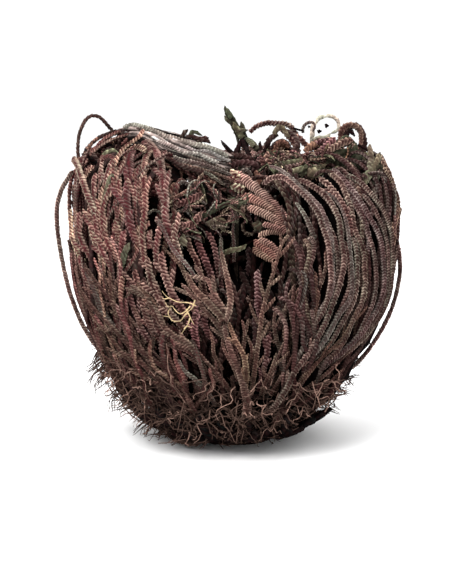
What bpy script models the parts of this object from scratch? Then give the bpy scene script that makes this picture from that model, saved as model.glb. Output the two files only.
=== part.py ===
"""Rose of Jericho, dried and closed: a woody crown on its roots, and fronds that
leave it in nested whorls, rise round a hollow and curl in over it.

Metres, +Z up. The origin is the centre of the flat spot that the crown rests on,
-Y is the side where the ball is open and its middle shows.
"""

import math

import bpy

# The bowl that the outermost fronds follow, on their centre lines
WIDEST_RADIUS = 0.0458
FLATTER_BY = 0.0025
WAIST_HEIGHT = 0.056
CURL_HEIGHT = 0.0675
LOBE_RISE = 0.0035
CURL_RADIUS = 0.0168

# The crown is a cone with a flat foot, and each whorl of fronds leaves it a little higher
CROWN_FOOT_RADIUS = 0.0118
CROWN_RADIUS = 0.0130
CROWN_SHOULDER_HEIGHT = 0.0046
CROWN_TIP_RADIUS = 0.0012
CROWN_HEIGHT = 0.0163
WHORL_STEP_OUT = 0.0025
WHORL_STEP_UP = 0.0026
FIRST_WHORL_RADIUS = 0.0125
FIRST_WHORL_HEIGHT = 0.0050

# A frond is a flattened blade; its width along its length is a share of the widest
FROND_HALF_WIDTH = 0.0069
FROND_HALF_THICKNESS = 0.0012
ALONG = (0.0, 0.063, 0.15, 0.30, 0.66, 0.865, 0.93, 1.0)
WIDTH_THERE = (0.31, 0.48, 0.72, 0.95, 1.0, 0.76, 0.48, 0.22)
BOWL_STEPS = 6
SIDE_STEPS = 1
CURL_STEPS = 6
FREE_TIP_SHARE = 0.35

# Small differences between neighbours, from the golden ratio
GOLDEN = 0.6180339887
TURN_SPREAD = math.radians(1.0)
CURL_SPREAD = math.radians(30)
HEIGHT_SPREAD = 0.0022
CURL_END = math.radians(158)

# Whorls from the outside in: name, number of fronds, first azimuth as a share of their
# spacing, distance inside the outermost, waist height, curl centre's height, curl radius
WHORLS = (
    ("outer", 14, 0.50, 0.0000, WAIST_HEIGHT, CURL_HEIGHT, CURL_RADIUS),
    ("second", 12, 0.00, 0.0060, WAIST_HEIGHT, CURL_HEIGHT, CURL_RADIUS - 0.0060),
    ("third", 8, 0.50, 0.0120, WAIST_HEIGHT, CURL_HEIGHT, CURL_RADIUS - 0.0115),
    ("fourth", 6, 0.50, 0.0215, 0.0430, 0.0520, 0.0080),
    ("inner", 3, 0.30, 0.0315, 0.0320, 0.0390, 0.0056),
)
# How far the middle of each frond leans round the plant, and its width against an outer one
WHORL_LEAN = {"outer": 0.0030, "second": -0.0030, "third": 0.0025, "fourth": -0.002, "inner": 0.0}
HALF_WIDTH_SHARE = {"outer": 1.0, "second": 0.95, "third": 0.95, "fourth": 0.85, "inner": 0.75}

# Fronds at the open front end low: whorl and number, and how far up their path they go
SHORT_FRONDS = {
    ("outer", 10): 0.46,
    ("outer", 12): 0.52,
    ("second", 10): 0.50,
    ("third", 6): 0.56,
    ("third", 7): 0.66,
}
# Places in a whorl that a stem or frond with a path of its own takes
TAKEN = {("outer", 11), ("fourth", 6)}

# Bundles of wiry roots: radius and height along the path, and its half width
ROOT_PATH = (
    (0.0133, 0.0018),
    (0.0180, 0.0024),
    (0.0240, 0.0046),
    (0.0300, 0.0086),
    (0.0350, 0.0144),
    (0.0385, 0.0204),
)
# Bundles from the right round to the front, and how far along the path each goes
ROOT_BUNDLES = {
    "right": 0.76,
    "back_right": 0.90,
    "back_left": 1.0,
    "left": 1.0,
    "front_left": 0.94,
    "front_right": 0.84,
}
ROOT_HALF_WIDTH = 0.0052
ROOT_HALF_THICKNESS = 0.0010
ROOT_ALONG = (0.0, 0.15, 0.35, 0.65, 0.85, 1.0)
ROOT_WIDTH_THERE = (0.45, 0.8, 1.0, 1.0, 0.8, 0.4)

# Stems with paths of their own: (x, y, z) in millimetres, and the radius at each point
STEM_PATHS = {
    "outlying_stem_left": (
        ((-34.0, -2.0, 20.0), (-42.0, -2.8, 31.0), (-46.6, -3.0, 42.0), (-49.3, -3.0, 54.0),
         (-50.4, -3.0, 65.0), (-49.2, -2.8, 72.0), (-45.5, -2.4, 78.5)),
        (0.6, 0.8, 0.8, 0.8, 0.8, 0.7, 0.5),
    ),
    "outlying_stem_right": (
        ((31.0, 2.0, 17.5), (37.0, 2.6, 22.0), (42.2, 3.0, 29.0), (46.2, 3.0, 37.0),
         (48.4, 3.0, 46.0), (48.4, 3.0, 53.0), (46.6, 3.0, 61.0)),
        (0.6, 0.8, 0.8, 0.8, 0.8, 0.7, 0.5),
    ),
    "looped_tip_left": (
        ((-43.0, -1.8, 76.5), (-44.2, -1.8, 83.0), (-43.6, -1.8, 89.0),
         (-41.2, -1.8, 93.2), (-38.2, -1.8, 93.4), (-35.4, -1.8, 90.6)),
        (0.6, 0.7, 0.7, 0.7, 0.8, 0.5),
    ),
    "antler_shoot": (
        ((0, 0, 16.6), (0.6, 0.5, 34.0), (1.0, 2.5, 54.0), (1.6, 4.5, 72.0),
         (1.8, 5.0, 84.0), (0.2, 5.0, 90.0), (-2.6, 5.0, 96.6)),
        (1.0, 1.0, 1.1, 1.2, 1.5, 1.4, 0.8),
    ),
    "antler_prong": (
        ((3.8, 5.0, 83.4), (3.9, 5.0, 86.4), (3.0, 5.0, 89.0), (2.9, 5.0, 91.4)),
        (0.5, 0.8, 0.8, 0.5),
    ),
    "pale_ring_curl": (
        ((22.6, 0, 88.2), (23.2, 0, 91.4), (25.4, 0, 93.4), (28.4, 0, 93.4),
         (30.2, 0, 91.6), (29.8, 0, 89.4), (27.6, 0, 88.6)),
        (0.4, 0.5, 0.55, 0.6, 0.6, 0.5, 0.4),
    ),
    "brown_ring_curl": (
        ((36.8, 1.9, 81.5), (37.6, 1.9, 86.0), (36.6, 1.9, 89.6), (34.2, 1.9, 90.8),
         (32.2, 1.9, 89.0), (32.4, 1.9, 86.4), (34.4, 1.9, 85.6)),
        (0.6, 0.9, 0.9, 0.9, 0.9, 0.8, 0.5),
    ),
    "fan_frond": (
        ((4.6, -2.0, 12.8), (12.0, -5.6, 18.0), (17.6, -8.4, 30.0), (18.6, -10.0, 44.0),
         (17.4, -12.0, 56.0), (13.0, -15.6, 65.0), (6.0, -20.0, 71.0),
         (-2.0, -23.0, 74.5)),
        (0.6, 0.9, 1.1, 1.2, 1.6, 2.4, 2.6, 1.0),
    ),
    "centre_stem": (
        ((0.6, -12.6, 5.0), (2.6, -23.0, 8.6), (3.8, -31.6, 16.0), (2.0, -37.4, 25.0),
         (-1.2, -41.0, 34.0), (-2.6, -42.8, 41.0)),
        (1.1, 1.3, 1.4, 1.4, 1.3, 1.1),
    ),
    "centre_stem_left_fork": (
        ((-3.6, -43.4, 42.6), (-7.0, -43.8, 46.4), (-10.4, -43.6, 50.0),
         (-12.6, -43.0, 54.6)),
        (0.7, 1.2, 1.3, 0.8),
    ),
    "centre_stem_right_fork": (
        ((-1.4, -43.2, 42.8), (-0.8, -43.8, 47.6), (-2.0, -43.6, 54.0),
         (-3.4, -43.0, 60.0)),
        (0.7, 1.2, 1.2, 0.8),
    ),
}
STEM_STEPS = 11
FORK_STEPS = 6

# Colour, roughness and metallic value of each part of the plant
MATERIALS = {
    "mauve_frond": ((0.24, 0.14, 0.12), 0.85, 0.0),
    "brown_frond": ((0.18, 0.11, 0.085), 0.85, 0.0),
    "dark_frond": ((0.10, 0.060, 0.050), 0.90, 0.0),
    "brown_stem": ((0.20, 0.13, 0.10), 0.80, 0.0),
    "olive_tip": ((0.12, 0.12, 0.075), 0.80, 0.0),
    "crown": ((0.075, 0.050, 0.040), 0.90, 0.0),
    "root": ((0.16, 0.11, 0.075), 0.90, 0.0),
}
WHORL_MATERIAL = {
    "outer": "mauve_frond",
    "second": "mauve_frond",
    "third": "brown_frond",
    "fourth": "dark_frond",
    "inner": "dark_frond",
}
OLIVE_STEMS = ("antler_shoot", "antler_prong")


def clear_scene():
    for old in list(bpy.data.objects):
        bpy.data.objects.remove(old, do_unlink=True)


def make_materials():
    made = {}
    for name, (colour, roughness, metallic) in MATERIALS.items():
        material = bpy.data.materials.new(name)
        material.use_nodes = True
        shader = material.node_tree.nodes["Principled BSDF"]
        shader.inputs["Base Color"].default_value = (*colour, 1.0)
        shader.inputs["Roughness"].default_value = roughness
        shader.inputs["Metallic"].default_value = metallic
        material.diffuse_color = (*colour, 1.0)
        made[name] = material
    return made


def between(value, stops, results):
    """The result at value, on straight lines between the stops."""
    for low, high, first, second in zip(stops, stops[1:], results, results[1:]):
        if value <= high:
            return first + (second - first) * (value - low) / (high - low)
    return results[-1]


def smooth_path(points, steps):
    """A Catmull-Rom curve through the points, read at steps + 1 even places."""
    last = len(points) - 1
    path = []
    for step in range(steps + 1):
        place = step * last / steps
        i = min(int(place), last - 1)
        t = place - i
        a, b = points[max(i - 1, 0)], points[i]
        c, d = points[i + 1], points[min(i + 2, last)]
        path.append(
            tuple(
                0.5
                * (
                    2 * q
                    + (r - p) * t
                    + (2 * p - 5 * q + 4 * r - s) * t * t
                    + (3 * q - p - 3 * r + s) * t * t * t
                )
                for p, q, r, s in zip(a, b, c, d)
            )
        )
    return path


def spread(number):
    """A value from -0.5 to 0.5 that differs between neighbouring numbers."""
    return (number * GOLDEN) % 1.0 - 0.5


def frond_path(whorl, number, azimuth):
    """Radius and height along one frond: a quarter of an ellipse out of the crown, an
    upright side, and an arc of a circle that curls in and down."""
    level = [row[0] for row in WHORLS].index(whorl)
    _, _, _, inset, waist, curl_height, curl_radius = WHORLS[level]
    base_radius = FIRST_WHORL_RADIUS - WHORL_STEP_OUT * level
    base_height = FIRST_WHORL_HEIGHT + WHORL_STEP_UP * level
    widest = WIDEST_RADIUS - inset - FLATTER_BY * math.sin(azimuth) ** 2
    curl_height += LOBE_RISE * math.cos(2 * azimuth) + HEIGHT_SPREAD * spread(number)
    curl_end = CURL_END + CURL_SPREAD * spread(number + 2 * level + 3)
    path = []
    for step in range(BOWL_STEPS + 1):
        turn = math.radians(90) * step / BOWL_STEPS
        path.append(
            (
                base_radius + (widest - base_radius) * math.sin(turn),
                waist - (waist - base_height) * math.cos(turn),
            )
        )
    for step in range(1, SIDE_STEPS + 1):
        path.append((widest, waist + (curl_height - waist) * step / SIDE_STEPS))
    for step in range(1, CURL_STEPS + 1):
        turn = curl_end * step / CURL_STEPS
        path.append(
            (
                widest - curl_radius + curl_radius * math.cos(turn),
                curl_height + curl_radius * math.sin(turn),
            )
        )
    return path


def lengths_of(path):
    """Share of the path's length at each of its points."""
    total = [0.0]
    for a, b in zip(path, path[1:]):
        total.append(total[-1] + math.dist(a, b))
    return [length / total[-1] for length in total]


def cut_short(path, reach):
    """The path up to this share of its length."""
    shares = lengths_of(path)
    kept = [p for p, share in zip(path, shares) if share < reach - 0.02]
    end = tuple(between(reach, shares, [p[axis] for p in path]) for axis in (0, 1))
    return kept + [end]


def add_curve(name, points, scales, half_width, half_thickness, material, collection):
    """A tube on a POLY spline. A half width over the half thickness flattens it into
    a blade that is widest across the plane of its path."""
    curve = bpy.data.curves.new(name, "CURVE")
    curve.dimensions = "3D"
    curve.bevel_depth = half_thickness
    curve.extrude = max(half_width - half_thickness, 0.0)
    curve.bevel_resolution = 0 if curve.extrude else 2
    curve.use_fill_caps = True
    spline = curve.splines.new("POLY")
    spline.points.add(len(points) - 1)
    for point, place, scale in zip(spline.points, points, scales):
        point.co = (*place, 1.0)
        point.radius = scale
    spline.use_smooth = True
    piece = bpy.data.objects.new(name, curve)
    curve.materials.append(material)
    collection.objects.link(piece)
    return piece


def add_blade(
    name, path, azimuth, lean, widths, half_width, half_thickness, material, where
):
    """A blade whose path is given as radius and height, stood up at its azimuth. Its
    middle leans round the plant, by half a wave of a sine along its length."""
    points = [
        (radius, height, -lean * math.sin(math.pi * share))
        for (radius, height), share in zip(path, lengths_of(path))
    ]
    piece = add_curve(name, points, widths, half_width, half_thickness, material, where)
    piece.rotation_euler = (math.radians(90), 0.0, azimuth)
    return piece


def add_crown(material, collection):
    """A turned profile: flat foot, bulging rim, and a cone that the whorls leave."""
    profile = (
        (0.0, 0.0),
        (CROWN_FOOT_RADIUS, 0.0),
        (CROWN_RADIUS - 0.0003, 0.0009),
        (CROWN_RADIUS, 0.0024),
        (CROWN_RADIUS - 0.0009, CROWN_SHOULDER_HEIGHT),
        (CROWN_TIP_RADIUS, CROWN_HEIGHT - 0.0004),
        (0.0, CROWN_HEIGHT),
    )
    mesh = bpy.data.meshes.new("crown")
    edges = [(i, i + 1) for i in range(len(profile) - 1)]
    mesh.from_pydata([(radius, 0.0, height) for radius, height in profile], edges, [])
    crown = bpy.data.objects.new("crown", mesh)
    mesh.materials.append(material)
    collection.objects.link(crown)
    turned = crown.modifiers.new("turned", "SCREW")
    turned.steps = turned.render_steps = 32
    turned.use_merge_vertices = True
    turned.merge_threshold = 0.00001
    turned.use_smooth_shade = True
    turned.use_normal_calculate = True
    return crown


def add_fronds(materials, collection):
    for name, count, first, *_ in WHORLS:
        for number in range(1, count + 1):
            if (name, number) in TAKEN:
                continue
            azimuth = math.tau * (number - 1 + first) / count
            path = frond_path(name, number, azimuth)
            azimuth += TURN_SPREAD * spread(3 * number)
            shares = lengths_of(path)
            if (name, number) in SHORT_FRONDS:
                path = cut_short(path, SHORT_FRONDS[name, number])
                shares = short_shares(path)
            widths = [between(share, ALONG, WIDTH_THERE) for share in shares]
            add_blade(
                f"{name}_frond_{number}",
                path,
                azimuth,
                WHORL_LEAN[name],
                widths,
                FROND_HALF_WIDTH * HALF_WIDTH_SHARE[name],
                FROND_HALF_THICKNESS,
                materials[WHORL_MATERIAL[name]],
                collection,
            )


def short_shares(path):
    """Places along a short frond, with the widening of a whole one up to the point
    where it starts to narrow to its free tip."""
    narrowing = 1.0 - FREE_TIP_SHARE
    shares = []
    for share in lengths_of(path):
        if share < narrowing:
            shares.append(share / narrowing * ALONG[3])
        else:
            part = (share - narrowing) / FREE_TIP_SHARE
            shares.append(ALONG[4] + (1.0 - ALONG[4]) * part)
    return shares


def add_roots(materials, collection):
    for number, (side, reach) in enumerate(ROOT_BUNDLES.items()):
        path = cut_short(ROOT_PATH, reach)
        add_blade(
            f"root_bundle_{side}",
            path,
            math.tau * number / len(ROOT_BUNDLES),
            0.0,
            [between(share, ROOT_ALONG, ROOT_WIDTH_THERE) for share in lengths_of(path)],
            ROOT_HALF_WIDTH,
            ROOT_HALF_THICKNESS,
            materials["root"],
            collection,
        )


def add_stems(materials, collection):
    for name, (places, radii) in STEM_PATHS.items():
        steps = FORK_STEPS if len(places) < 5 else STEM_STEPS
        knots = [(*place, radius) for place, radius in zip(places, radii)]
        path = [[value / 1000 for value in point] for point in smooth_path(knots, steps)]
        thickest = max(point[3] for point in path)
        add_curve(
            name,
            [point[:3] for point in path],
            [point[3] / thickest for point in path],
            thickest,
            thickest,
            materials["olive_tip" if name in OLIVE_STEMS else "brown_stem"],
            collection,
        )


def main():
    clear_scene()
    collection = bpy.data.collections.new("rose_of_jericho")
    bpy.context.scene.collection.children.link(collection)
    materials = make_materials()
    add_crown(materials["crown"], collection)
    add_roots(materials, collection)
    add_fronds(materials, collection)
    add_stems(materials, collection)


main()
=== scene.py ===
import math
from typing import NamedTuple

import bpy
import numpy as np
from bpy.props import FloatProperty, FloatVectorProperty, IntProperty, PointerProperty
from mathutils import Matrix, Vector


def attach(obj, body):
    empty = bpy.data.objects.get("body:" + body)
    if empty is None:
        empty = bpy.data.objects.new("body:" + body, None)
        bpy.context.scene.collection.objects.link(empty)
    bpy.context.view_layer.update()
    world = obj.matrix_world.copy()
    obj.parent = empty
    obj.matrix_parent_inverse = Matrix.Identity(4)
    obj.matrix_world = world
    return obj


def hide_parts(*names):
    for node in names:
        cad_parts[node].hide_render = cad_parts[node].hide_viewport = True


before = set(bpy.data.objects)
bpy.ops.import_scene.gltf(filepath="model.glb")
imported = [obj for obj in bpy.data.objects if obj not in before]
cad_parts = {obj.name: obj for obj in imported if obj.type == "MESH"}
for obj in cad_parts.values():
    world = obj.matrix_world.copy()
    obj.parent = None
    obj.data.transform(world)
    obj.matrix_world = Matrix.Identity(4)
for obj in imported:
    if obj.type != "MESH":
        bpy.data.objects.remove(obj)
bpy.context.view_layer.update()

bl_info = {
    "name": "Rose of Jericho",
    "version": (1, 0, 0),
    "blender": (4, 5, 0),
    "location": "3D View > Sidebar > Rose",
    "description": "A dried, closed rose of Jericho, from its scale leaves to its roots",
    "category": "Object",
}

# The bowl that the fronds follow, as in the solids: metres, +Z up, open side at -Y
WIDEST_RADIUS = 0.0458
FLATTER_BY = 0.0025
WAIST_HEIGHT = 0.056
CURL_HEIGHT = 0.0675
LOBE_RISE = 0.0035
CURL_RADIUS = 0.0168
WHORL_STEP_OUT = 0.0025
WHORL_STEP_UP = 0.0026
FIRST_WHORL_RADIUS = 0.0125
FIRST_WHORL_HEIGHT = 0.0050
FROND_HALF_WIDTH = 0.0069
# A frond's width at shares of its length, and the share of a short one that curls free
ALONG = (0.0, 0.063, 0.15, 0.30, 0.66, 0.865, 0.93, 1.0)
WIDTH_THERE = (0.31, 0.48, 0.72, 0.95, 1.0, 0.76, 0.48, 0.22)
FREE_TIP_SHARE = 0.35
# How much neighbouring fronds differ
GOLDEN = 0.6180339887
TURN_SPREAD = math.radians(1.0)
CURL_SPREAD = math.radians(30)
HEIGHT_SPREAD = 0.0022
# Where a frond's curl ends, and how much further round it a strand may run
CURL_END = math.radians(158)
CURL_PAST_END = math.radians(26)
# How far the bowl's outer face lies outside the outer fronds' middles, its foot at the
# crown, and the height of the ball's middle
FACE_OUT = 0.0012
FOOT_RADIUS = 0.010
FOOT_HEIGHT = FIRST_WHORL_HEIGHT - 0.001
BALL_MIDDLE = 0.045

# Whorls: number of fronds, first azimuth, distance inside, waist, curl height and radius
WHORLS = {
    "outer": (14, 0.50, 0.0000, WAIST_HEIGHT, CURL_HEIGHT, CURL_RADIUS),
    "second": (12, 0.00, 0.0060, WAIST_HEIGHT, CURL_HEIGHT, CURL_RADIUS - 0.0060),
    "third": (8, 0.50, 0.0120, WAIST_HEIGHT, CURL_HEIGHT, CURL_RADIUS - 0.0115),
    "fourth": (6, 0.50, 0.0215, 0.0430, 0.0520, 0.0080),
    "inner": (3, 0.30, 0.0315, 0.0320, 0.0390, 0.0056),
}
WHORL_LEAN = {"outer": 0.0030, "second": -0.0030, "third": 0.0025, "fourth": -0.002, "inner": 0.0}
HALF_WIDTH_SHARE = {"outer": 1.0, "second": 0.95, "third": 0.95, "fourth": 0.85, "inner": 0.75}
# Fronds of the open front that end low, with their share of the full length
SHORT_FRONDS = {
    ("outer", 10): 0.46,
    ("outer", 12): 0.52,
    ("second", 10): 0.50,
    ("third", 6): 0.56,
    ("third", 7): 0.66,
}
# Places in the whorls where no frond grows
BARE = {("outer", 11), ("fourth", 6)}

# Camera: the photograph's viewing angle and its frame, and the slope from one pixel to
# the next
FRAME_WIDTH = 452
FRAME_HEIGHT = 584
SENSOR = 36.0
LENS = 100.0
CAMERA_DISTANCE = 0.470
CAMERA_ELEVATION = math.radians(8)
CAMERA_AIM = (-0.0020, 0.0, 0.0428)
PIXEL_SLOPE = SENSOR / LENS / FRAME_HEIGHT
# Distances in front of the camera between which lines of sight look for the bowl
NEAREST = 0.40
FURTHEST = 0.52

# Steps along a strand's path, in metres, and along one given by its pixels, in pixels
PATH_STEP = 0.0008
PIXEL_STEP = 2.0

# The outline of the plant's mass in the photograph's frame, in pixels, and a place in it
OUTLINE = np.array([
    (70, 215), (74, 180), (76, 160), (81, 147), (92, 146), (104, 137), (116, 132), (132, 128),
    (148, 130), (164, 137), (180, 145), (200, 147), (220, 151), (244, 153), (262, 149),
    (276, 144), (292, 148), (304, 153), (316, 148), (332, 140), (346, 134), (356, 138),
    (364, 150), (380, 157), (386, 172), (394, 186), (399, 205), (398, 250), (394, 280),
    (388, 305), (377, 325), (364, 345), (349, 368), (340, 385), (326, 400), (306, 413),
    (287, 425), (266, 436), (240, 441), (212, 439), (196, 445), (180, 444), (164, 439),
    (150, 430), (135, 418), (116, 408), (108, 392), (100, 372), (96, 345), (86, 322),
    (77, 300), (71, 275), (69, 240),
])
OUTLINE_MIDDLE = np.array([235, 290])

# Angles of a strand's columns round it, from its right edge. None is in the middle of a
# face, so that the left and right leaves meet there in a plait.
EIGHT_SIDES = np.radians(112.5 + 45 * np.arange(8))
SIX_SIDES = np.radians(120 + 60 * np.arange(6))
FOUR_SIDES = np.radians(135 + 90 * np.arange(4))

# How a strand looks: colour, strength of its dark grooves, which are painted shade, and of its
# pale edges, depth of the steps between its leaves, thickness over width, length of a leaf
# over the usual length, and how much its middle line is darker than its sides, as painted
# shade in the plait's groove. Shade is a dark brown used for dark brown stems and as painted
# shade for strands deep inside; dark is near black and paints shade into gaps and holes.
LOOKS = {
    "braid": ((0.114, 0.064, 0.053), 1.00, 0.30, 0.62, 1.00, 0.75),
    "pale_braid": ((0.170, 0.112, 0.082), 1.00, 0.28, 0.62, 0.95, 0.75),
    "maroon": ((0.082, 0.040, 0.037), 1.00, 0.28, 0.62, 1.00, 0.65),
    "arc": ((0.087, 0.057, 0.049), 1.00, 0.16, 0.80, 0.95, 0.80),
    "stem": ((0.088, 0.051, 0.040), 0.75, 0.24, 0.75, 0.95, 0.88),
    "dusty": ((0.092, 0.071, 0.061), 0.75, 0.16, 0.75, 0.95, 0.88),
    "ash": ((0.205, 0.164, 0.150), 0.45, 0.26, 0.60, 1.00, 0.60),
    "shade": ((0.030, 0.018, 0.016), 0.70, 0.22, 0.60, 1.30, 0.60),
    "dark": ((0.006, 0.0032, 0.0032), 0.40, 0.15, 0.70, 1.80, 0.50),
    "olive": ((0.098, 0.086, 0.056), 0.45, 0.10, 0.45, 1.50, 0.90),
    "dark_olive": ((0.038, 0.036, 0.024), 0.35, 0.10, 0.55, 1.50, 0.90),
    "orange": ((0.112, 0.060, 0.042), 0.60, 0.22, 0.60, 1.00, 0.60),
    "cream": ((0.400, 0.350, 0.285), 0.25, 0.08, 0.90, 1.20, 0.90),
    "fan": ((0.185, 0.100, 0.082), 0.90, 0.12, 0.30, 0.82, 0.15),
    "bark": ((0.215, 0.168, 0.152), 0.00, 0.10, 0.35, 1.90, 0.90),
    "straw": ((0.470, 0.350, 0.195), 0.20, 0.06, 0.90, 1.60, 0.90),
}
# The strands that close a frond behind, dark so that its gaps show painted shade: width,
# leaf length over the usual, and brightness
BACKING = {"dark": (0.0046, 3.2, 0.5), "shade": (0.0026, 1.7, 0.9)}
BACKING_DEPTH = 0.0032
# A scale leaf's free edge slants back from the middle line by this share of the strand's
# width, and the foot of the next leaf lies behind it by this share of the pitch
EDGE_SLANT = 0.38
FOOT_BEHIND = 0.36
# How unevenly bright whole rings of leaves are, and the places on them
RING_UNEVEN = 0.08
LEAF_UNEVEN = 0.14

# Shifts of colour between neighbouring strands: tan, plain, maroon, grey, pink and dark
SHIFTS = np.array([
    (1.25, 1.28, 1.15), (1.0, 1.0, 1.0), (0.80, 0.62, 0.68), (0.82, 0.92, 0.95),
    (1.15, 0.98, 1.0), (0.60, 0.56, 0.60),
])

# Strands that the photograph shows, by the pixels they pass through in its frame: look,
# width in millimetres, millimetres under the bowl's face, and pixels from base to tip
LEFT_LOBE = (
    ("braid", 2.4, -0.8, (
        (173, 247), (168, 229), (165, 215), (166, 199), (163, 182), (161, 165), (156, 152),
        (149, 144), (141, 143),
    )),
    ("braid", 2.2, -0.6, (
        (141, 262), (142, 241), (143, 226), (145, 211), (145, 194), (144, 175), (146, 158),
        (152, 150),
    )),
    ("maroon", 2.7, -0.5, (
        (135, 248), (132, 235), (130, 221), (127, 205), (127, 190), (130, 175), (130, 158),
        (134, 150),
    )),
    ("braid", 2.2, -0.2, ((137, 214), (137, 199), (138, 184), (139, 172))),
    ("pale_braid", 1.9, -1.6, ((121, 156), (123, 151), (128, 148), (135, 146), (141, 148), (147, 152))),
    ("braid", 2.0, 0.0, ((120, 250), (118, 233), (115, 218))),
    ("braid", 2.0, 0.3, ((116, 212), (118, 202), (119, 187), (119, 170), (124, 160))),
    ("braid", 2.2, -0.6, ((147, 248), (146, 240), (150, 228))),
    ("pale_braid", 2.2, -2.2, ((92, 216), (88, 199), (85, 187), (81, 175), (77, 164), (73, 158))),
    ("pale_braid", 1.9, -0.4, ((79, 262), (74, 250), (72, 235), (71, 222), (70, 208))),
    ("braid", 2.2, -0.3, ((88, 262), (82, 245), (79, 228), (80, 210))),
    ("braid", 2.0, -0.5, ((108, 272), (101, 248), (96, 225), (94, 203), (94, 185), (96, 172))),
    ("pale_braid", 1.8, -0.7, ((100, 262), (93, 238), (90, 218), (91, 200))),
    ("braid", 2.1, -0.3, (
        (112, 262), (107, 243), (103, 222), (104, 205), (110, 190), (116, 178), (116, 168),
    )),
    ("braid", 2.0, -0.2, ((104, 240), (99, 222), (98, 206))),
    ("braid", 2.1, 0.2, ((128, 270), (124, 256), (123, 243), (125, 228))),
    ("dusty", 1.2, -1.6, ((196, 282), (188, 267), (173, 249), (165, 233), (156, 216))),
    ("braid", 2.0, 0.6, ((180, 262), (176, 246), (174, 232), (177, 220))),
    ("braid", 2.0, 0.4, ((155, 268), (155, 252), (158, 238), (160, 224))),
    ("pale_braid", 1.6, -0.8, ((78, 190), (81, 178), (88, 170), (95, 166))),
    ("braid", 1.8, -1.0, ((100, 200), (103, 186), (108, 172), (112, 162), (118, 156))),
)
LOWER_LEFT = (
    ("stem", 2.2, -0.6, (
        (174, 394), (161, 382), (151, 372), (137, 357), (127, 343), (111, 326), (96, 311),
        (86, 298), (77, 283),
    )),
    ("stem", 2.0, -0.8, (
        (184, 385), (168, 370), (151, 358), (137, 347), (128, 331), (122, 314), (109, 298),
        (97, 283), (87, 268),
    )),
    ("stem", 2.4, -0.4, ((128, 331), (118, 312), (112, 298), (111, 282), (108, 268))),
    ("stem", 2.6, -0.8, (
        (200, 362), (187, 343), (174, 336), (162, 324), (152, 308), (140, 292), (129, 285),
    )),
    ("stem", 2.4, -0.7, ((158, 320), (151, 301), (142, 289), (136, 281))),
    ("stem", 2.0, -0.4, ((141, 345), (140, 330), (137, 314), (132, 305))),
    ("stem", 1.8, -0.6, ((120, 318), (119, 300), (120, 288), (117, 277))),
    ("stem", 1.6, -0.5, ((118, 312), (124, 300), (130, 290))),
    ("braid", 2.2, -0.8, ((182, 330), (170, 314), (160, 300), (152, 284), (149, 268), (147, 256))),
    ("braid", 2.4, 0.0, ((186, 318), (175, 300), (168, 284), (163, 268), (161, 250))),
    ("stem", 1.9, -0.4, (
        (165, 395), (150, 380), (136, 366), (122, 352), (108, 334), (96, 320), (88, 306),
        (80, 292),
    )),
    ("stem", 1.8, -0.2, ((152, 398), (137, 386), (124, 374), (113, 360), (104, 344), (98, 332))),
    ("stem", 1.7, 0.0, ((140, 404), (127, 392), (116, 380), (107, 368))),
    ("stem", 2.0, 0.2, ((196, 404), (182, 392), (168, 378), (152, 366), (140, 352))),
    ("stem", 2.2, 0.2, ((104, 312), (98, 296), (90, 278), (84, 262))),
    ("dusty", 2.2, 0.1, ((120, 340), (108, 322), (98, 300), (92, 284), (85, 270))),
    ("stem", 1.5, -0.8, ((146, 358), (152, 344), (152, 335), (148, 328))),
    ("braid", 2.1, 0.3, ((160, 345), (150, 325), (143, 305), (138, 285), (134, 268))),
    ("maroon", 1.9, 0.5, ((152, 352), (144, 334), (136, 314), (130, 296), (128, 280))),
    ("braid", 1.9, 0.7, ((168, 350), (158, 330), (152, 310), (147, 292), (143, 276))),
    ("stem", 1.9, 0.4, ((146, 356), (136, 338), (128, 320), (122, 302))),
    ("maroon", 2.0, 0.9, ((178, 352), (168, 336), (160, 318), (152, 300))),
    ("stem", 1.9, 0.6, ((158, 372), (146, 356), (138, 342), (132, 326))),
    ("stem", 2.0, 0.6, ((206, 376), (198, 360), (186, 350), (172, 346), (160, 338))),
)
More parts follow.
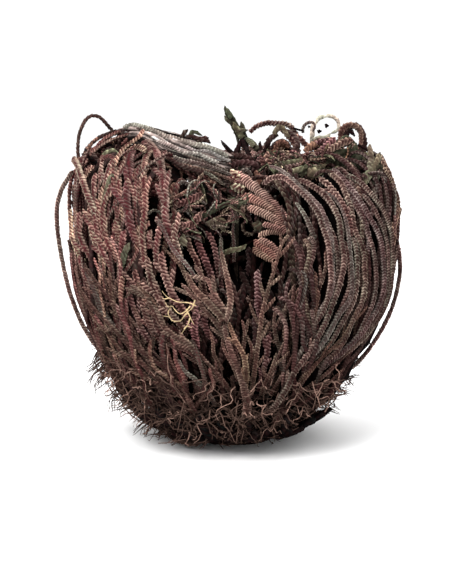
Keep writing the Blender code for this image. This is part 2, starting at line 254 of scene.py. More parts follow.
CENTRE_LOW = (
    ("stem", 2.2, 1.2, (
        (230, 352), (226, 338), (219, 327), (213, 319), (206, 312), (199, 303), (192, 295),
        (186, 288), (180, 283),
    )),
    ("stem", 2.4, 0.8, (
        (226, 330), (224, 312), (217, 299), (212, 289), (208, 280), (203, 278), (199, 271),
        (193, 265),
    )),
    ("stem", 1.7, 3.0, ((220, 332), (210, 316), (200, 304), (196, 290), (188, 282))),
    ("stem", 2.0, 3.5, ((206, 311), (196, 300), (190, 284), (182, 268), (173, 250), (168, 238))),
    ("maroon", 2.2, 2.0, ((196, 350), (194, 330), (196, 312), (190, 300))),
    ("stem", 2.4, -1.0, ((245, 396), (246, 384), (246, 368), (243, 354), (235, 339), (228, 321))),
    ("stem", 1.6, -0.6, ((245, 386), (239, 381), (233, 366), (224, 349), (222, 338))),
    ("stem", 1.5, 1.0, ((244, 352), (245, 336), (242, 319))),
    ("stem", 1.4, 1.0, ((245, 338), (247, 328), (249, 318))),
    ("stem", 2.0, 1.6, (
        (252, 398), (254, 376), (257, 352), (260, 331), (262, 314), (267, 294), (271, 280),
        (275, 268), (281, 246), (289, 234),
    )),
    ("maroon", 2.2, 3.0, ((262, 320), (259, 302), (258, 285), (257, 268))),
    ("stem", 1.9, 2.0, ((297, 350), (296, 331), (291, 314), (293, 298), (294, 283))),
    ("pale_braid", 1.9, 1.6, ((303, 334), (302, 317), (300, 306), (299, 293))),
    ("stem", 2.1, 1.0, (
        (308, 354), (312, 336), (314, 317), (317, 301), (318, 293), (313, 282), (308, 266),
    )),
    ("stem", 1.5, 1.0, ((316, 298), (314, 291), (308, 281))),
    ("stem", 1.9, 1.2, ((318, 298), (320, 292), (323, 280), (326, 264), (325, 250))),
    ("stem", 2.6, -0.6, (
        (253, 424), (261, 418), (271, 410), (284, 393), (294, 373), (307, 355), (318, 338),
    )),
    ("stem", 1.8, 2.5, ((284, 356), (277, 340), (274, 322), (277, 305))),
    ("stem", 1.8, 3.0, ((282, 330), (286, 312), (289, 296), (296, 284))),
    ("shade", 1.8, 5.0, ((270, 345), (280, 325), (284, 305), (286, 285))),
    ("maroon", 2.0, 3.0, ((215, 345), (206, 330), (204, 312), (206, 296))),
    ("stem", 1.8, 0.4, ((262, 398), (266, 384), (272, 368), (277, 352))),
    ("stem", 1.8, 0.6, ((232, 402), (226, 386), (216, 372), (205, 360), (197, 350))),
    ("dusty", 1.6, 0.4, ((214, 408), (206, 392), (196, 380), (184, 370), (178, 358))),
    ("stem", 1.6, 1.4, ((222, 372), (214, 356), (213, 342), (210, 330))),
    ("stem", 1.6, 0.8, ((300, 368), (306, 350), (302, 340), (304, 328))),
    ("maroon", 1.8, 2.0, ((260, 394), (263, 374), (267, 354), (269, 332))),
    ("stem", 1.6, 2.2, ((266, 400), (271, 380), (277, 360), (285, 340))),
    ("stem", 1.5, 1.4, ((249, 376), (252, 356), (250, 340))),
    ("stem", 1.6, 1.2, ((272, 398), (281, 378), (291, 360), (298, 346))),
    ("shade", 2.0, 3.6, ((246, 380), (252, 360), (256, 338), (254, 316))),
    ("maroon", 1.7, 2.8, ((236, 384), (238, 364), (234, 348), (236, 332))),
    ("stem", 1.6, 2.4, ((292, 368), (288, 350), (284, 334), (286, 320))),
)
RIGHT_ARCS = (
    ("arc", 1.8, -0.8, (
        (314, 330), (322, 316), (328, 297), (331, 279), (330, 262), (328, 243), (323, 228),
        (317, 212), (307, 198), (295, 187), (284, 178), (271, 178), (262, 186),
    )),
    ("dusty", 1.6, -0.8, (
        (320, 318), (327, 302), (332, 286), (332, 262), (331, 240), (327, 224), (321, 209),
        (312, 198), (302, 189), (291, 178), (279, 169), (268, 166),
    )),
    ("arc", 2.0, -1.0, (
        (253, 424), (274, 407), (286, 389), (295, 371), (308, 354), (317, 339), (326, 321),
        (332, 305), (340, 283), (344, 260), (341, 238), (339, 220), (332, 205), (322, 193),
        (309, 184), (296, 179),
    )),
    ("arc", 1.9, -0.6, (
        (322, 370), (335, 354), (346, 336), (355, 315), (361, 304), (365, 285), (364, 268),
        (364, 256), (359, 240), (354, 228), (351, 209), (346, 195), (340, 182), (328, 172),
    )),
    ("arc", 1.9, -0.8, (
        (331, 366), (346, 349), (360, 335), (370, 320), (378, 306), (384, 286), (383, 262),
        (381, 243), (376, 229), (368, 215), (358, 198), (349, 187), (341, 177), (332, 168),
    )),
    ("arc", 1.8, -0.6, (
        (346, 357), (359, 343), (373, 326), (383, 311), (390, 292), (392, 273), (392, 243),
        (390, 228), (384, 212), (376, 200), (365, 187), (355, 179), (345, 175),
    )),
    ("braid", 2.0, -0.6, (
        (392, 262), (394, 240), (394, 226), (397, 212), (398, 202), (395, 192), (392, 181),
        (387, 169), (380, 160),
    )),
    ("dusty", 1.7, -0.4, (
        (300, 372), (312, 356), (326, 338), (338, 316), (350, 298), (352, 276), (350, 252),
        (348, 232), (344, 214), (336, 200), (324, 190),
    )),
    ("arc", 1.8, -0.2, (
        (316, 362), (330, 344), (340, 326), (350, 308), (356, 290), (357, 268), (356, 248),
        (352, 236),
    )),
    ("arc", 1.6, -0.4, (
        (326, 372), (340, 356), (356, 338), (366, 318), (373, 302), (376, 284), (375, 262),
        (372, 246), (366, 230), (360, 214), (352, 202),
    )),
    ("arc", 1.7, 0.0, (
        (304, 368), (318, 348), (332, 326), (343, 304), (350, 284), (349, 262), (344, 240),
    )),
    ("arc", 1.9, -0.4, ((372, 262), (370, 244), (366, 226), (360, 210), (352, 197), (342, 188))),
    ("arc", 1.6, -0.2, (
        (338, 364), (352, 350), (366, 332), (376, 316), (384, 298), (388, 280), (388, 256),
        (386, 238), (380, 222), (372, 206), (362, 194),
    )),
    ("stem", 1.7, -0.6, (
        (288, 398), (300, 384), (314, 366), (328, 352), (342, 338), (352, 322), (358, 308),
    )),
    ("stem", 1.6, -0.4, ((300, 398), (314, 384), (330, 370), (344, 356), (356, 344), (366, 332))),
    ("stem", 1.5, -0.3, ((306, 402), (320, 391), (334, 378), (344, 368))),
    ("dusty", 1.5, -0.9, ((318, 238), (309, 222), (302, 211), (295, 201))),
    ("arc", 1.6, 0.4, (
        (336, 300), (338, 282), (338, 262), (336, 244), (330, 228), (322, 214), (312, 204),
    )),
    ("stem", 1.6, -0.3, ((368, 322), (374, 308), (374, 292))),
    ("braid", 1.9, -0.6, ((356, 248), (351, 226), (344, 207), (336, 194), (327, 184), (317, 177))),
    ("arc", 1.8, 0.3, ((346, 250), (342, 228), (335, 210), (327, 197), (318, 187))),
    ("stem", 1.4, -0.5, ((346, 338), (348, 326), (346, 316))),
)

# Strands and leaves of the hollow and the top: look, width in millimetres, and pixels
# with the depth of each in millimetres behind the middle
FAN = (
    ("fan", 4.0, (
        (289, 230, -15.2), (283, 217, -16.5), (274, 207, -17.6), (265, 197, -18.8),
        (256, 187, -20.5), (246, 181, -22), (237, 176, -22.8), (230, 171, -23.4),
    )),
    ("fan", 3.2, (
        (288, 231, -16), (275, 214, -18.5), (264, 205, -20), (255, 200, -21), (246, 197, -22),
        (239, 197, -22.6),
    )),
    ("fan", 2.9, (
        (286, 231, -16.6), (274, 219, -19.5), (265, 214, -21), (255, 210, -22), (246, 207, -22.8),
    )),
    ("fan", 2.2, ((285, 232, -17), (274, 227, -19.5), (268, 225, -20.5), (261, 224, -21.2))),
    ("fan", 2.0, ((284, 233, -17), (271, 232, -19.8), (263, 234, -21), (257, 237, -21.8))),
    ("pale_braid", 2.6, ((238, 179, -23.2), (233, 173, -24), (229, 169, -24.6))),
    ("maroon", 2.4, ((240, 184, -23), (232, 179, -23.8), (226, 175, -24.4))),
    ("pale_braid", 2.8, ((243, 190, -22.8), (236, 187, -24), (229, 185, -24.8))),
    ("orange", 1.6, ((262, 187, -20), (259, 180, -20.8), (256, 172, -21.5), (253, 173, -22))),
    ("olive", 3.2, ((262, 228, -19), (256, 226, -20.5), (250, 224, -21.5))),
    ("dark_olive", 3.0, ((241, 204, -21), (234, 201, -22), (227, 197, -23))),
    ("fan", 3.0, ((275, 258, -20), (268, 251, -21), (260, 245, -22), (252, 240, -22.8))),
    ("fan", 2.6, ((272, 260, -20.2), (264, 256, -21.2), (256, 251, -22), (252, 247, -22.8))),
    ("fan", 2.2, ((278, 252, -20), (272, 246, -21), (264, 241, -22), (257, 239, -22.5))),
    ("olive", 1.7, ((224, 253, -25), (232, 250, -26), (240, 249, -26.5), (248, 244, -27))),
    ("dusty", 1.8, ((222, 276, -30), (221, 262, -29), (221, 248, -28), (221, 236, -27))),
    ("dusty", 1.2, ((234, 262, -24), (234, 246, -22), (233, 228, -21), (236, 212, -21))),
    ("stem", 1.5, ((296, 262, -14), (295, 248, -15), (293, 238, -15), (289, 231, -15.5))),
    ("dusty", 1.6, ((292, 202, -19), (284, 192, -18), (276, 186, -17), (262, 183, -15))),
)
ANTLER = (
    ("dark_olive", 2.8, (
        (244, 140, 5), (240, 134, 5), (236, 128, 5), (232, 120, 5), (228, 113, 5), (224, 105, 5),
    )),
    ("olive", 2.0, ((243, 138, 3.2), (239, 132, 3.2), (235, 126, 3.2), (232, 121, 3.4))),
    ("olive", 1.9, ((234, 124, 5), (230, 121, 5), (226, 118, 5), (223, 115, 5))),
    ("dark_olive", 1.7, ((232, 118, 4), (228, 112, 4), (225, 107, 4))),
    ("dark_olive", 2.0, ((243, 138, 4), (243, 131, 4), (242, 126, 4), (241.5, 120, 4))),
    ("olive", 1.6, ((236, 131, 3), (241, 131, 3), (246, 130, 3), (249, 129, 3))),
    ("dark_olive", 2.0, ((258, 150, -4), (253, 144, -1), (248, 140, 2), (243, 137, 4))),
    ("dark", 1.6, ((234, 158, -4), (237, 150, 0), (241, 142, 3), (243, 138, 4))),
    ("dark", 1.5, ((250, 158, -8), (247, 151, -4), (244, 144, 0), (242, 138, 4))),
    ("olive", 1.6, ((254, 146, -4), (250, 142, -1), (246, 139, 2))),
)
WOODY_BAND = (
    ("ash", 1.7, (
        (124, 128, -7), (132, 125, -8.5), (142, 127, -11), (152, 130, -13.5), (164, 136, -16),
        (176, 139, -18), (190, 144, -19.5), (204, 146, -20.5), (218, 152, -21.5), (230, 158, -22),
    )),
    ("ash", 1.3, (
        (150, 135, -14), (160, 142, -17), (172, 146, -20), (184, 153, -22.5), (198, 154, -23.5),
        (210, 160, -24), (220, 163, -24),
    )),
    ("ash", 1.0, (
        (186, 146, -20), (196, 151, -22), (208, 151, -22.5), (220, 157, -22.5), (232, 162, -22),
    )),
    ("dusty", 1.5, (
        (166, 154, -20), (180, 160, -25), (196, 163, -26), (214, 168, -25.5), (234, 176, -24),
    )),
    ("stem", 1.6, (
        (158, 152, -18), (172, 160, -23.5), (188, 166, -26), (204, 170, -26), (222, 176, -25),
        (236, 182, -24),
    )),
    ("shade", 1.5, (
        (150, 146, -16), (164, 154, -20.5), (178, 164, -25.5), (194, 170, -26.5), (210, 174, -26),
    )),
    ("dusty", 1.6, (
        (160, 148, -17), (176, 154, -21.5), (191, 158, -23.5), (213, 165, -23.5),
        (230, 172, -22.5),
    )),
    ("dusty", 1.6, ((126, 126, -6), (142, 129, -11), (160, 134, -14), (176, 142, -17), (190, 150, -20))),
    ("shade", 1.8, ((112, 134, -3), (122, 131, -5), (134, 130, -8), (146, 136, -12))),
    ("shade", 1.5, ((179, 143, -17), (183, 135, -17), (188, 128, -17))),
    ("shade", 1.6, ((183, 142, -17), (190, 136, -17), (199, 139, -17), (210, 137, -17))),
    ("dark_olive", 1.4, ((188, 141, -17), (192, 132, -17), (198, 133, -17), (203, 137, -17))),
    ("shade", 1.3, ((196, 144, -18), (203, 140, -18), (212, 143, -18))),
)
# Upper and lower edge of the bark: pixels and depth
BARK_TOP = (
    (118, 127, -4), (134, 126, -7), (152, 130, -11), (176, 137, -15), (202, 145, -17),
    (238, 158, -18),
)
BARK_FOOT = (
    (122, 139, -6), (140, 143, -11), (158, 152, -17), (178, 163, -22.5), (200, 167, -22.8),
    (232, 172, -21),
)
TOP_CURLS = (
    ("shade", 1.3, (
        (86, 150, -3), (92, 143, -4), (100, 137, -4), (110, 133, -4), (120, 131, -4),
        (130, 131, -5),
    )),
    ("orange", 1.2, ((84, 158, -3), (88, 149, -4), (93, 142, -4), (100, 137, -4.5))),
    ("olive", 1.6, ((102, 162, -8), (104, 155, -9), (110, 151, -9.5), (115, 151, -10), (119, 157, -10))),
    ("orange", 1.2, ((106, 146, -6), (108, 141, -6), (111, 139, -6), (114, 145, -6.5))),
    ("shade", 1.5, ((118, 152, -8), (120, 143, -7), (123, 135, -6), (128, 126, -5))),
    ("shade", 1.4, ((126, 150, -9), (128, 140, -8), (130, 132, -7), (133, 126, -6))),
    ("orange", 1.2, ((84, 160, -7), (92, 158, -8), (100, 156, -8.5), (106, 153, -9))),
    ("braid", 1.8, (
        (250, 132, 0), (257, 126, -1), (267, 123, -2), (276, 123.5, -3), (286, 124, -4),
        (293, 129, -5), (297, 137, -6), (298, 146, -7),
    )),
    ("shade", 2.0, (
        (277, 134, -11), (270, 139, -12), (267, 147, -13), (270, 155, -13.5), (279, 160, -14),
        (289, 158, -13.5), (296, 150, -13), (297, 141, -12.5), (290, 133, -12), (281, 131, -11.5),
    )),
    ("orange", 1.5, ((274, 152, -12), (277, 147, -12.5), (282, 145, -12.5), (286, 149, -12))),
    ("orange", 1.6, ((276, 156, -12), (281, 153, -12.5), (287, 154, -12.5), (290, 150, -12))),
    ("pale_braid", 1.2, ((275, 148, -12.2), (280, 150, -12.6), (285, 147, -12.5))),
    ("shade", 1.1, ((275, 143, -13), (281, 140, -13.5), (288, 143, -13.5), (290, 150, -13))),
    # The shade and dark strands below fill the curl's inside with painted shade
    ("shade", 2.6, ((272, 150, -8), (277, 144, -8.5), (284, 143, -8.5), (290, 150, -8))),
    ("dark", 2.6, ((274, 154, -7), (280, 150, -7), (287, 150, -7), (291, 155, -7))),
    ("olive", 1.7, ((274, 134, -13), (280, 126, -13), (286, 133, -13.5), (290, 139, -14))),
    ("orange", 1.3, (
        (277, 151, -14), (276, 145, -14.5), (281, 141, -14.5), (287, 144, -14.5), (288, 150, -14),
    )),
    ("braid", 2.1, ((280, 127, -11), (288, 135, -12), (295, 145, -12.5), (300, 156, -13))),
    ("braid", 2.0, ((292, 136, -11), (299, 138, -12), (304, 143, -12.5), (310, 150, -13))),
    ("cream", 1.5, ((313, 140, -3), (318, 138, -3), (325, 137.5, -3), (332, 133, -3))),
    ("pale_braid", 1.8, ((314, 146, -14), (319, 142, -14), (326, 141, -14), (334, 138, -13))),
    ("maroon", 2.0, ((310, 150, -15), (317, 143, -15), (325, 141, -15), (331, 138, -14))),
    ("orange", 2.2, ((305, 152, -16), (311, 146, -15.5), (317, 144, -15), (321, 148, -15))),
    ("stem", 2.6, (
        (341, 141, -4), (341, 132, -4), (346, 126, -4), (353, 125, -4), (360, 131, -4),
        (361, 141, -5), (358, 152, -6),
    )),
    ("dark", 1.6, ((346, 140, -5), (347, 133, -5), (352, 131, -5), (354, 138, -5))),
    ("dark", 0.7, ((293, 128, -6), (299, 130, -6), (305, 131, -6))),
    ("dusty", 1.1, (
        (303, 133, -5), (303, 128, -5), (307, 123, -5), (313, 122.5, -5), (315, 127, -5),
        (312, 132, -5),
    )),
    ("dark", 1.0, ((308, 127, -5), (311, 126, -5))),
    ("dark", 1.3, ((317.5, 132, -3), (322.5, 130, -3))),
    ("dark", 1.6, ((325, 126, -3), (330, 125, -3))),
    ("maroon", 2.4, ((308, 162, -17), (316, 156, -17), (326, 147, -16), (337, 137, -15))),
    ("braid", 2.2, ((318, 160, -17), (330, 150, -16.5), (342, 143, -15.5), (354, 139, -14))),
    ("orange", 1.1, ((312, 146, -13), (314, 142, -13), (319, 139, -13), (324, 141, -13))),
    ("orange", 1.1, ((314, 151, -14), (317, 147, -14), (323, 144, -14), (327, 146, -14))),
    ("braid", 2.2, ((271, 164, -18), (268, 158, -18.5), (266, 150, -19))),
    ("maroon", 1.8, ((264, 165, -18), (261, 158, -18.5), (262, 154, -19))),
    ("olive", 2.4, ((272, 172, -20), (280, 166, -20), (290, 163, -20), (302, 160, -19))),
    ("maroon", 2.2, ((278, 170, -21), (288, 168, -21), (300, 166, -20), (310, 161, -19))),
    ("olive", 1.9, ((290, 172, -22), (299, 170, -21.5), (308, 166, -21), (314, 165, -20))),
    ("orange", 2.0, ((262, 160, -17), (270, 157, -17), (278, 161, -17), (286, 159, -17))),
    ("braid", 2.0, (
        (284, 162, -18), (292, 157, -17.5), (300, 159, -17), (308, 154, -16.5), (315, 157, -16),
    )),
    ("maroon", 2.0, (
        (292, 168, -19), (300, 162, -18.5), (309, 163, -18), (318, 158, -17.5), (326, 161, -17),
    )),
    ("olive", 2.0, ((300, 176, -21), (309, 168, -20), (318, 168, -19.5), (328, 164, -19))),
    ("maroon", 1.7, (
        (296, 180, -18), (304, 172, -17), (312, 170, -16), (320, 174, -15), (326, 182, -15),
    )),
    ("dusty", 1.7, ((320, 186, -20), (326, 176, -19), (334, 170, -18), (344, 168, -17))),
    ("orange", 1.6, ((318, 168, -18), (324, 164, -17), (331, 167, -16), (334, 174, -16))),
    ("maroon", 1.8, ((336, 180, -14), (344, 172, -12), (352, 166, -10), (362, 164, -8), (370, 168, -6))),
    ("braid", 1.7, ((328, 158, -14), (334, 152, -13), (342, 151, -12), (348, 157, -12))),
    ("dusty", 1.4, ((350, 184, -10), (356, 174, -8), (366, 168, -6), (376, 172, -4))),
    ("dark_olive", 2.4, ((346, 182, -12), (354, 172, -10), (360, 162, -9), (362, 152, -8))),
    ("olive", 3.4, ((308, 173, -22), (314, 173, -22.5), (321, 173, -22.5), (325, 172, -22))),
    ("dark_olive", 4.4, (
        (330, 172, -16), (336, 164, -15), (344, 158, -14), (352, 150, -12), (358, 142, -10),
    )),
    ("dark_olive", 3.4, ((338, 172, -16), (348, 166, -14), (356, 158, -12), (360, 148, -10))),
    ("dark_olive", 2.6, ((326, 164, -17), (334, 156, -16), (342, 152, -15), (350, 154, -14))),
    ("olive", 2.2, ((366, 182, -22), (370, 168, -19), (371, 156, -16), (369, 143, -13))),
    ("olive", 2.3, ((360, 188, -24), (367, 177, -21), (376, 164, -18), (380, 151, -15))),
    ("dark_olive", 1.6, ((372, 184, -20), (378, 176, -18), (380, 166, -17), (377, 158, -16))),
    ("dark", 0.9, ((358, 145, -8), (364, 148, -7), (370, 151, -7))),
    ("dark", 0.9, ((358, 151, -8), (365, 154, -7), (371, 156, -7))),
    ("dark", 1.0, ((372, 180, -8), (380, 180, -7), (387, 184, -6))),
    ("dusty", 1.4, ((330, 170, -19), (336, 178, -20), (338, 188, -21), (333, 196, -22))),
    ("olive", 1.4, ((330, 172, -21), (335, 176, -22), (337, 184, -23), (334, 192, -24))),
    ("dark", 1.1, ((262, 150, -14), (260, 145, -14), (259.5, 140, -14))),
    ("dark", 1.1, ((264, 153, -14), (266, 147, -14), (270, 142, -14))),
    ("dark", 0.9, ((232.8, 152.5, -8), (226, 146, -8), (220, 140, -8))),
    ("dark", 0.9, ((236, 158, -8), (228, 150, -8), (222, 143, -8))),
    ("shade", 2.0, ((214, 168, -17), (224, 158, -16), (240, 156, -15), (256, 162, -15))),
    ("shade", 2.0, ((222, 172, -18), (236, 164, -17), (250, 163, -17), (262, 170, -17))),
    ("dusty", 1.4, ((238, 176, -20), (244, 170, -20), (250, 172, -20), (252, 178, -20))),
)
HOLLOW_TWIGS = (
    ("dusty", 0.8, (
        (148, 214, -40), (155, 210, -38), (167, 216, -36), (179, 211, -34), (191, 212, -32),
        (201, 218, -30), (208, 226, -29),
    )),
    ("dusty", 1.6, ((196, 196, -28), (190, 186, -29), (183, 182, -30), (176, 186, -31))),
    ("stem", 1.5, ((164, 200, -36), (176, 197, -34), (188, 190, -32), (200, 178, -30), (204, 172, -30))),
    ("maroon", 2.2, ((172, 206, -34), (182, 203, -33), (192, 199, -32), (203, 193, -30))),
    ("dusty", 1.0, ((204, 172, -29), (212, 176, -28), (220, 182, -27), (226, 186, -26))),
    ("olive", 2.4, ((208, 226, -29), (213, 222, -29), (220, 224, -29), (226, 233, -29))),
    ("olive", 2.6, ((183, 246, -38), (183, 239, -38), (182, 232, -38))),
    ("maroon", 2.1, (
        (216, 296, -28), (212, 278, -31), (206, 262, -32), (200, 248, -32), (196, 234, -32),
        (189, 222, -32),
    )),
    ("braid", 1.9, (
        (206, 298, -30), (202, 280, -33), (197, 262, -34), (190, 248, -34), (187, 238, -34),
        (180, 226, -34),
    )),
    ("maroon", 1.7, (
        (222, 290, -27), (218, 268, -29), (215, 250, -30), (211, 238, -30), (204, 231, -30),
    )),
    ("shade", 2.2, ((240, 300, -20), (246, 280, -18), (250, 262, -16), (248, 246, -14))),
    ("shade", 2.2, ((284, 300, -18), (290, 280, -16), (300, 262, -14), (304, 244, -12))),
    ("shade", 2.4, ((262, 236, -12), (258, 220, -10), (262, 204, -10), (276, 196, -10))),
    ("shade", 2.4, ((300, 270, -16), (306, 250, -16), (302, 230, -15), (292, 214, -14))),
    # The wide strands of the dark look below are near black: painted shade in the hollow
    ("dark", 3.0, ((190, 230, -18), (192, 210, -18), (186, 190, -18), (176, 178, -20))),
    ("dark", 3.0, ((210, 240, -16), (212, 214, -14), (206, 194, -14), (196, 180, -14))),
    ("dark", 4.0, ((158, 264, -24), (155, 236, -24), (154, 210, -24), (152, 184, -22))),
    ("dark", 4.0, ((178, 204, -22), (176, 186, -22), (174, 166, -20))),
    ("dark", 4.0, ((222, 236, -12), (224, 214, -10), (222, 192, -10))),
    ("braid", 2.2, ((174, 222, -37), (184, 226, -36), (194, 222, -34), (202, 212, -32))),
    ("dark_olive", 1.6, ((200, 218, -28), (214, 210, -27), (226, 204, -26), (238, 198, -25))),
    ("shade", 2.0, ((246, 320, -24), (254, 300, -22), (246, 284, -20), (240, 270, -18))),
)
# Where small crumpled tips lie: name, two corners in pixels and depth, number and looks
FRILLS = (
    ("top_frills", (262, 152, -20), (344, 172, -15), 44,
     ("orange", "braid", "maroon", "olive", "dusty", "dark_olive", "pale_braid")),
    ("hollow_frills", (168, 190, -36), (232, 238, -28), 30,
     ("maroon", "braid", "dusty", "shade", "olive", "pale_braid")),
)
# Grey-green blades between the braids of the left lobe, listed as those are
OLIVE_BLADES = (
    ("olive", 2.4, -1.2, ((100, 198), (104, 188), (109, 179), (114, 172))),
    ("dark_olive", 1.6, -1.6, ((101, 196), (106, 187), (111, 179), (113, 174))),
    ("olive", 2.4, -1.6, ((116, 268), (120, 259), (126, 249), (131, 242))),
)
# Straw-coloured rootlets on the bowl's face, by their pixels, and half their thickness
ROOTLET_RADIUS = 0.00024
ROOTLETS = (
    ((196, 306), (189, 303), (178, 302), (171, 299), (166, 296), (162, 291)),
    ((169, 298), (165, 299), (162, 298)),
    ((190, 306), (186, 311), (180, 314), (175, 310), (172, 306), (168, 307), (165, 302)),
    ((188, 313), (184, 316), (180, 321), (173, 321), (169, 317), (163, 316)),
    ((172, 321), (168, 313), (171, 307)),
    ((186, 309), (188, 313), (191, 319), (194, 325)),
    ((190, 318), (188, 324), (184, 330), (181, 334)),
    ((195, 300), (192, 308), (186, 313), (183, 317)),
    ((184, 329), (187, 326), (192, 328)),
)

# Stems of their own, as in the solids: points in millimetres, base to tip
STEM_PATHS = {
    "outlying_stem_left": (
        (-34, -2, 20), (-42, -2.8, 31), (-46.6, -3, 42), (-49.3, -3, 54),
        (-50.4, -3, 65), (-49.2, -2.8, 72), (-45.5, -2.4, 78.5),
    ),
    "outlying_stem_right": (
        (31, 2, 17.5), (37, 2.6, 22), (42.2, 3, 29), (46.2, 3, 37),
        (48.4, 3, 46), (48.4, 3, 53), (46.6, 3, 61),
    ),
    "looped_tip_left": (
        (-42.6, -1.8, 70), (-43, -1.8, 76.5), (-44.2, -1.8, 83), (-43.6, -1.8, 89),
        (-41.2, -1.8, 93.2), (-38.2, -1.8, 93.4), (-35.4, -1.8, 90.6), (-33.6, -1.8, 88.4),
    ),
    "antler_shoot": (
        (0, 0, 16.6), (0.6, 0.5, 34), (1, 2.5, 54), (1.6, 4.5, 72), (1.8, 5, 84),
        (0.2, 5, 90), (-2.6, 5, 96.6),
    ),
    "antler_prong": ((3.8, 5, 83.4), (3.9, 5, 86.4), (3, 5, 89), (2.9, 5, 91.4)),
    "pale_ring_curl": (
        (22.6, 0, 85), (22.6, 0, 88.2), (23.2, 0, 91.4), (25.4, 0, 93.4), (28.4, 0, 93.4),
        (30.2, 0, 91.6), (29.8, 0, 89.4), (27.6, 0, 88.6),
    ),
    "brown_ring_curl": (
        (36.8, 1.9, 79), (37.6, 1.9, 86), (36.6, 1.9, 89.6), (34.2, 1.9, 90.8),
        (32.2, 1.9, 89), (32.4, 1.9, 86.4), (34.4, 1.9, 85.6),
    ),
    "fan_frond": (
        (4.6, -2, 12.8), (12, -5.6, 18), (17.6, -8.4, 30), (18.6, -10, 44),
        (17.4, -12, 56), (13, -15.6, 65), (6, -20, 71), (-2, -23, 74.5),
    ),
    "centre_stem": (
        (0.6, -12.6, 5), (2.6, -23, 8.6), (3.8, -31.6, 16), (2, -37.4, 25),
        (-1.2, -41, 34), (-2.6, -42.8, 41),
    ),
    "centre_stem_left_fork": (
        (-3, -43, 41.2), (-3.6, -43.4, 42.6), (-7, -43.8, 46.4), (-10.4, -43.6, 50),
        (-12.6, -43, 54.6),
    ),
    "centre_stem_right_fork": (
        (-2.2, -42.9, 41.2), (-1.4, -43.2, 42.8), (-0.8, -43.8, 47.6), (-2, -43.6, 54),
        (-3.4, -43, 60),
    ),
}
# Look and width in millimetres of each stem, the strands listed by pixels that belong to
# its piece, and the slot of those that aren't brown stems
STEM_LOOKS = {
    "outlying_stem_left": ("arc", 1.5),
    "outlying_stem_right": ("arc", 1.5),
    "looped_tip_left": ("shade", 1.2),
    "antler_shoot": ("dark_olive", 1.3),
    "antler_prong": ("dark_olive", 1.5),
    "pale_ring_curl": ("cream", 1.5),
    "brown_ring_curl": ("shade", 2.2),
    "fan_frond": ("shade", 2.2),
    "centre_stem": ("stem", 2.6),
    "centre_stem_left_fork": ("stem", 2.2),
    "centre_stem_right_fork": ("stem", 1.9),
}
STEM_STRANDS = {"antler_shoot": ANTLER, "fan_frond": FAN}
STEM_SLOTS = {"antler_shoot": "olive_tip", "antler_prong": "olive_tip", "fan_frond": "mauve_frond"}

# Root bundles: azimuth in degrees, and how far each goes along the line they follow
ROOT_BUNDLES = {
    "right": (0, 0.76),
    "back_right": (60, 0.90),
    "back_left": (120, 1.0),
    "left": (180, 1.0),
    "front_left": (240, 0.94),
    "front_right": (300, 0.84),
}
# The line that the roots follow: distances from the plant's axis, and heights
ROOT_RADIUS = np.array([10.5, 13.3, 18.0, 24.0, 30.0, 35.0, 38.5]) / 1000
ROOT_HEIGHT = np.array([2.2, 1.8, 2.4, 4.6, 8.6, 14.4, 20.4]) / 1000
# Spiky root ends that stand out of the outline, by their pixels, and how many lie
# beside each other at each
ROOT_SPIKES = (
    ((110, 362), (101, 369), (93, 376), (88, 383)),
    ((108, 368), (99, 374), (94, 380), (91, 388)),
    ((106, 356), (97, 364), (90, 370), (85, 372)),
    ((112, 374), (104, 380), (99, 386), (98, 393)),
    ((104, 346), (97, 353), (93, 363)),
    ((124, 390), (116, 398), (113, 404), (114, 412)),
    ((132, 400), (124, 407), (118, 410)),
    ((148, 414), (139, 423), (133, 429)),
    ((154, 420), (148, 429), (146, 438)),
    ((163, 427), (158, 436), (158, 444)),
    ((171, 432), (167, 440), (168, 446)),
    ((180, 434), (177, 442), (180, 447)),
    ((248, 430), (245, 438), (244, 444)),
    ((294, 400), (304, 410), (313, 421)),
    ((314, 386), (326, 395), (336, 401)),
    ((326, 378), (337, 387), (346, 395)),
    ((332, 372), (346, 378), (355, 376), (361, 377)),
    ((332, 366), (344, 368), (354, 364)),
    ((320, 390), (332, 394), (342, 392)),
    ((340, 358), (350, 358), (358, 352)),
    ((322, 384), (336, 388), (350, 392)),
    ((316, 394), (328, 404), (340, 410)),
    ((304, 402), (318, 410), (330, 412)),
    ((334, 364), (348, 360), (362, 366)),
    ((328, 370), (342, 374), (352, 386)),
)
SPIKES_BESIDE = 7

# The crown's profile from its flat foot to its tip, its colour with the strength of its
# grooves, and the number of old frond bases round it. The colour is the wood's dark brown,
# darkened further as painted shade under the plant.
CROWN_RADIUS = np.array([9.0, 11.0, 11.8, 12.2, 12.0, 11.0, 7.6, 4.6, 1.6, 0.6]) / 1000
CROWN_HEIGHT = np.array([0, 0, 0.6, 2.0, 3.6, 5.0, 8.0, 12.0, 15.5, 16.2]) / 1000
CROWN_COLUMNS = 48
CROWN_TINT = (0.022, 0.013, 0.010, 0.3)
CROWN_STUBS = 84
# The crown's dark rim, painted shade under its foot: pixels and depth in millimetres
CROWN_RIM = np.array([
    [(163, 428, -6), (176, 437, -12), (190, 441, -16), (204, 439, -16), (222, 434, -15), (238, 429, -13)],
    [(205, 433, -19), (228, 436, -19), (250, 435, -18), (270, 430, -15), (288, 420, -11), (301, 409, -7)],
    [(186, 438, -16), (212, 433, -18), (236, 432, -20), (262, 427, -18), (284, 416, -12), (296, 406, -9)],
])
RIM_WIDTH = 0.0030
RIM_SHADE_TINT = np.array([0.030, 0.018, 0.014, 0])

# Bark straps in the woody band and columns round each, and branchlets in the thicket and
# their looks
BARK_STRAPS = 44
STRAP_COLUMNS = 8
THICKET_BRANCHLETS = 80
THICKET_LOOKS = ("shade", "shade", "stem", "maroon", "braid")
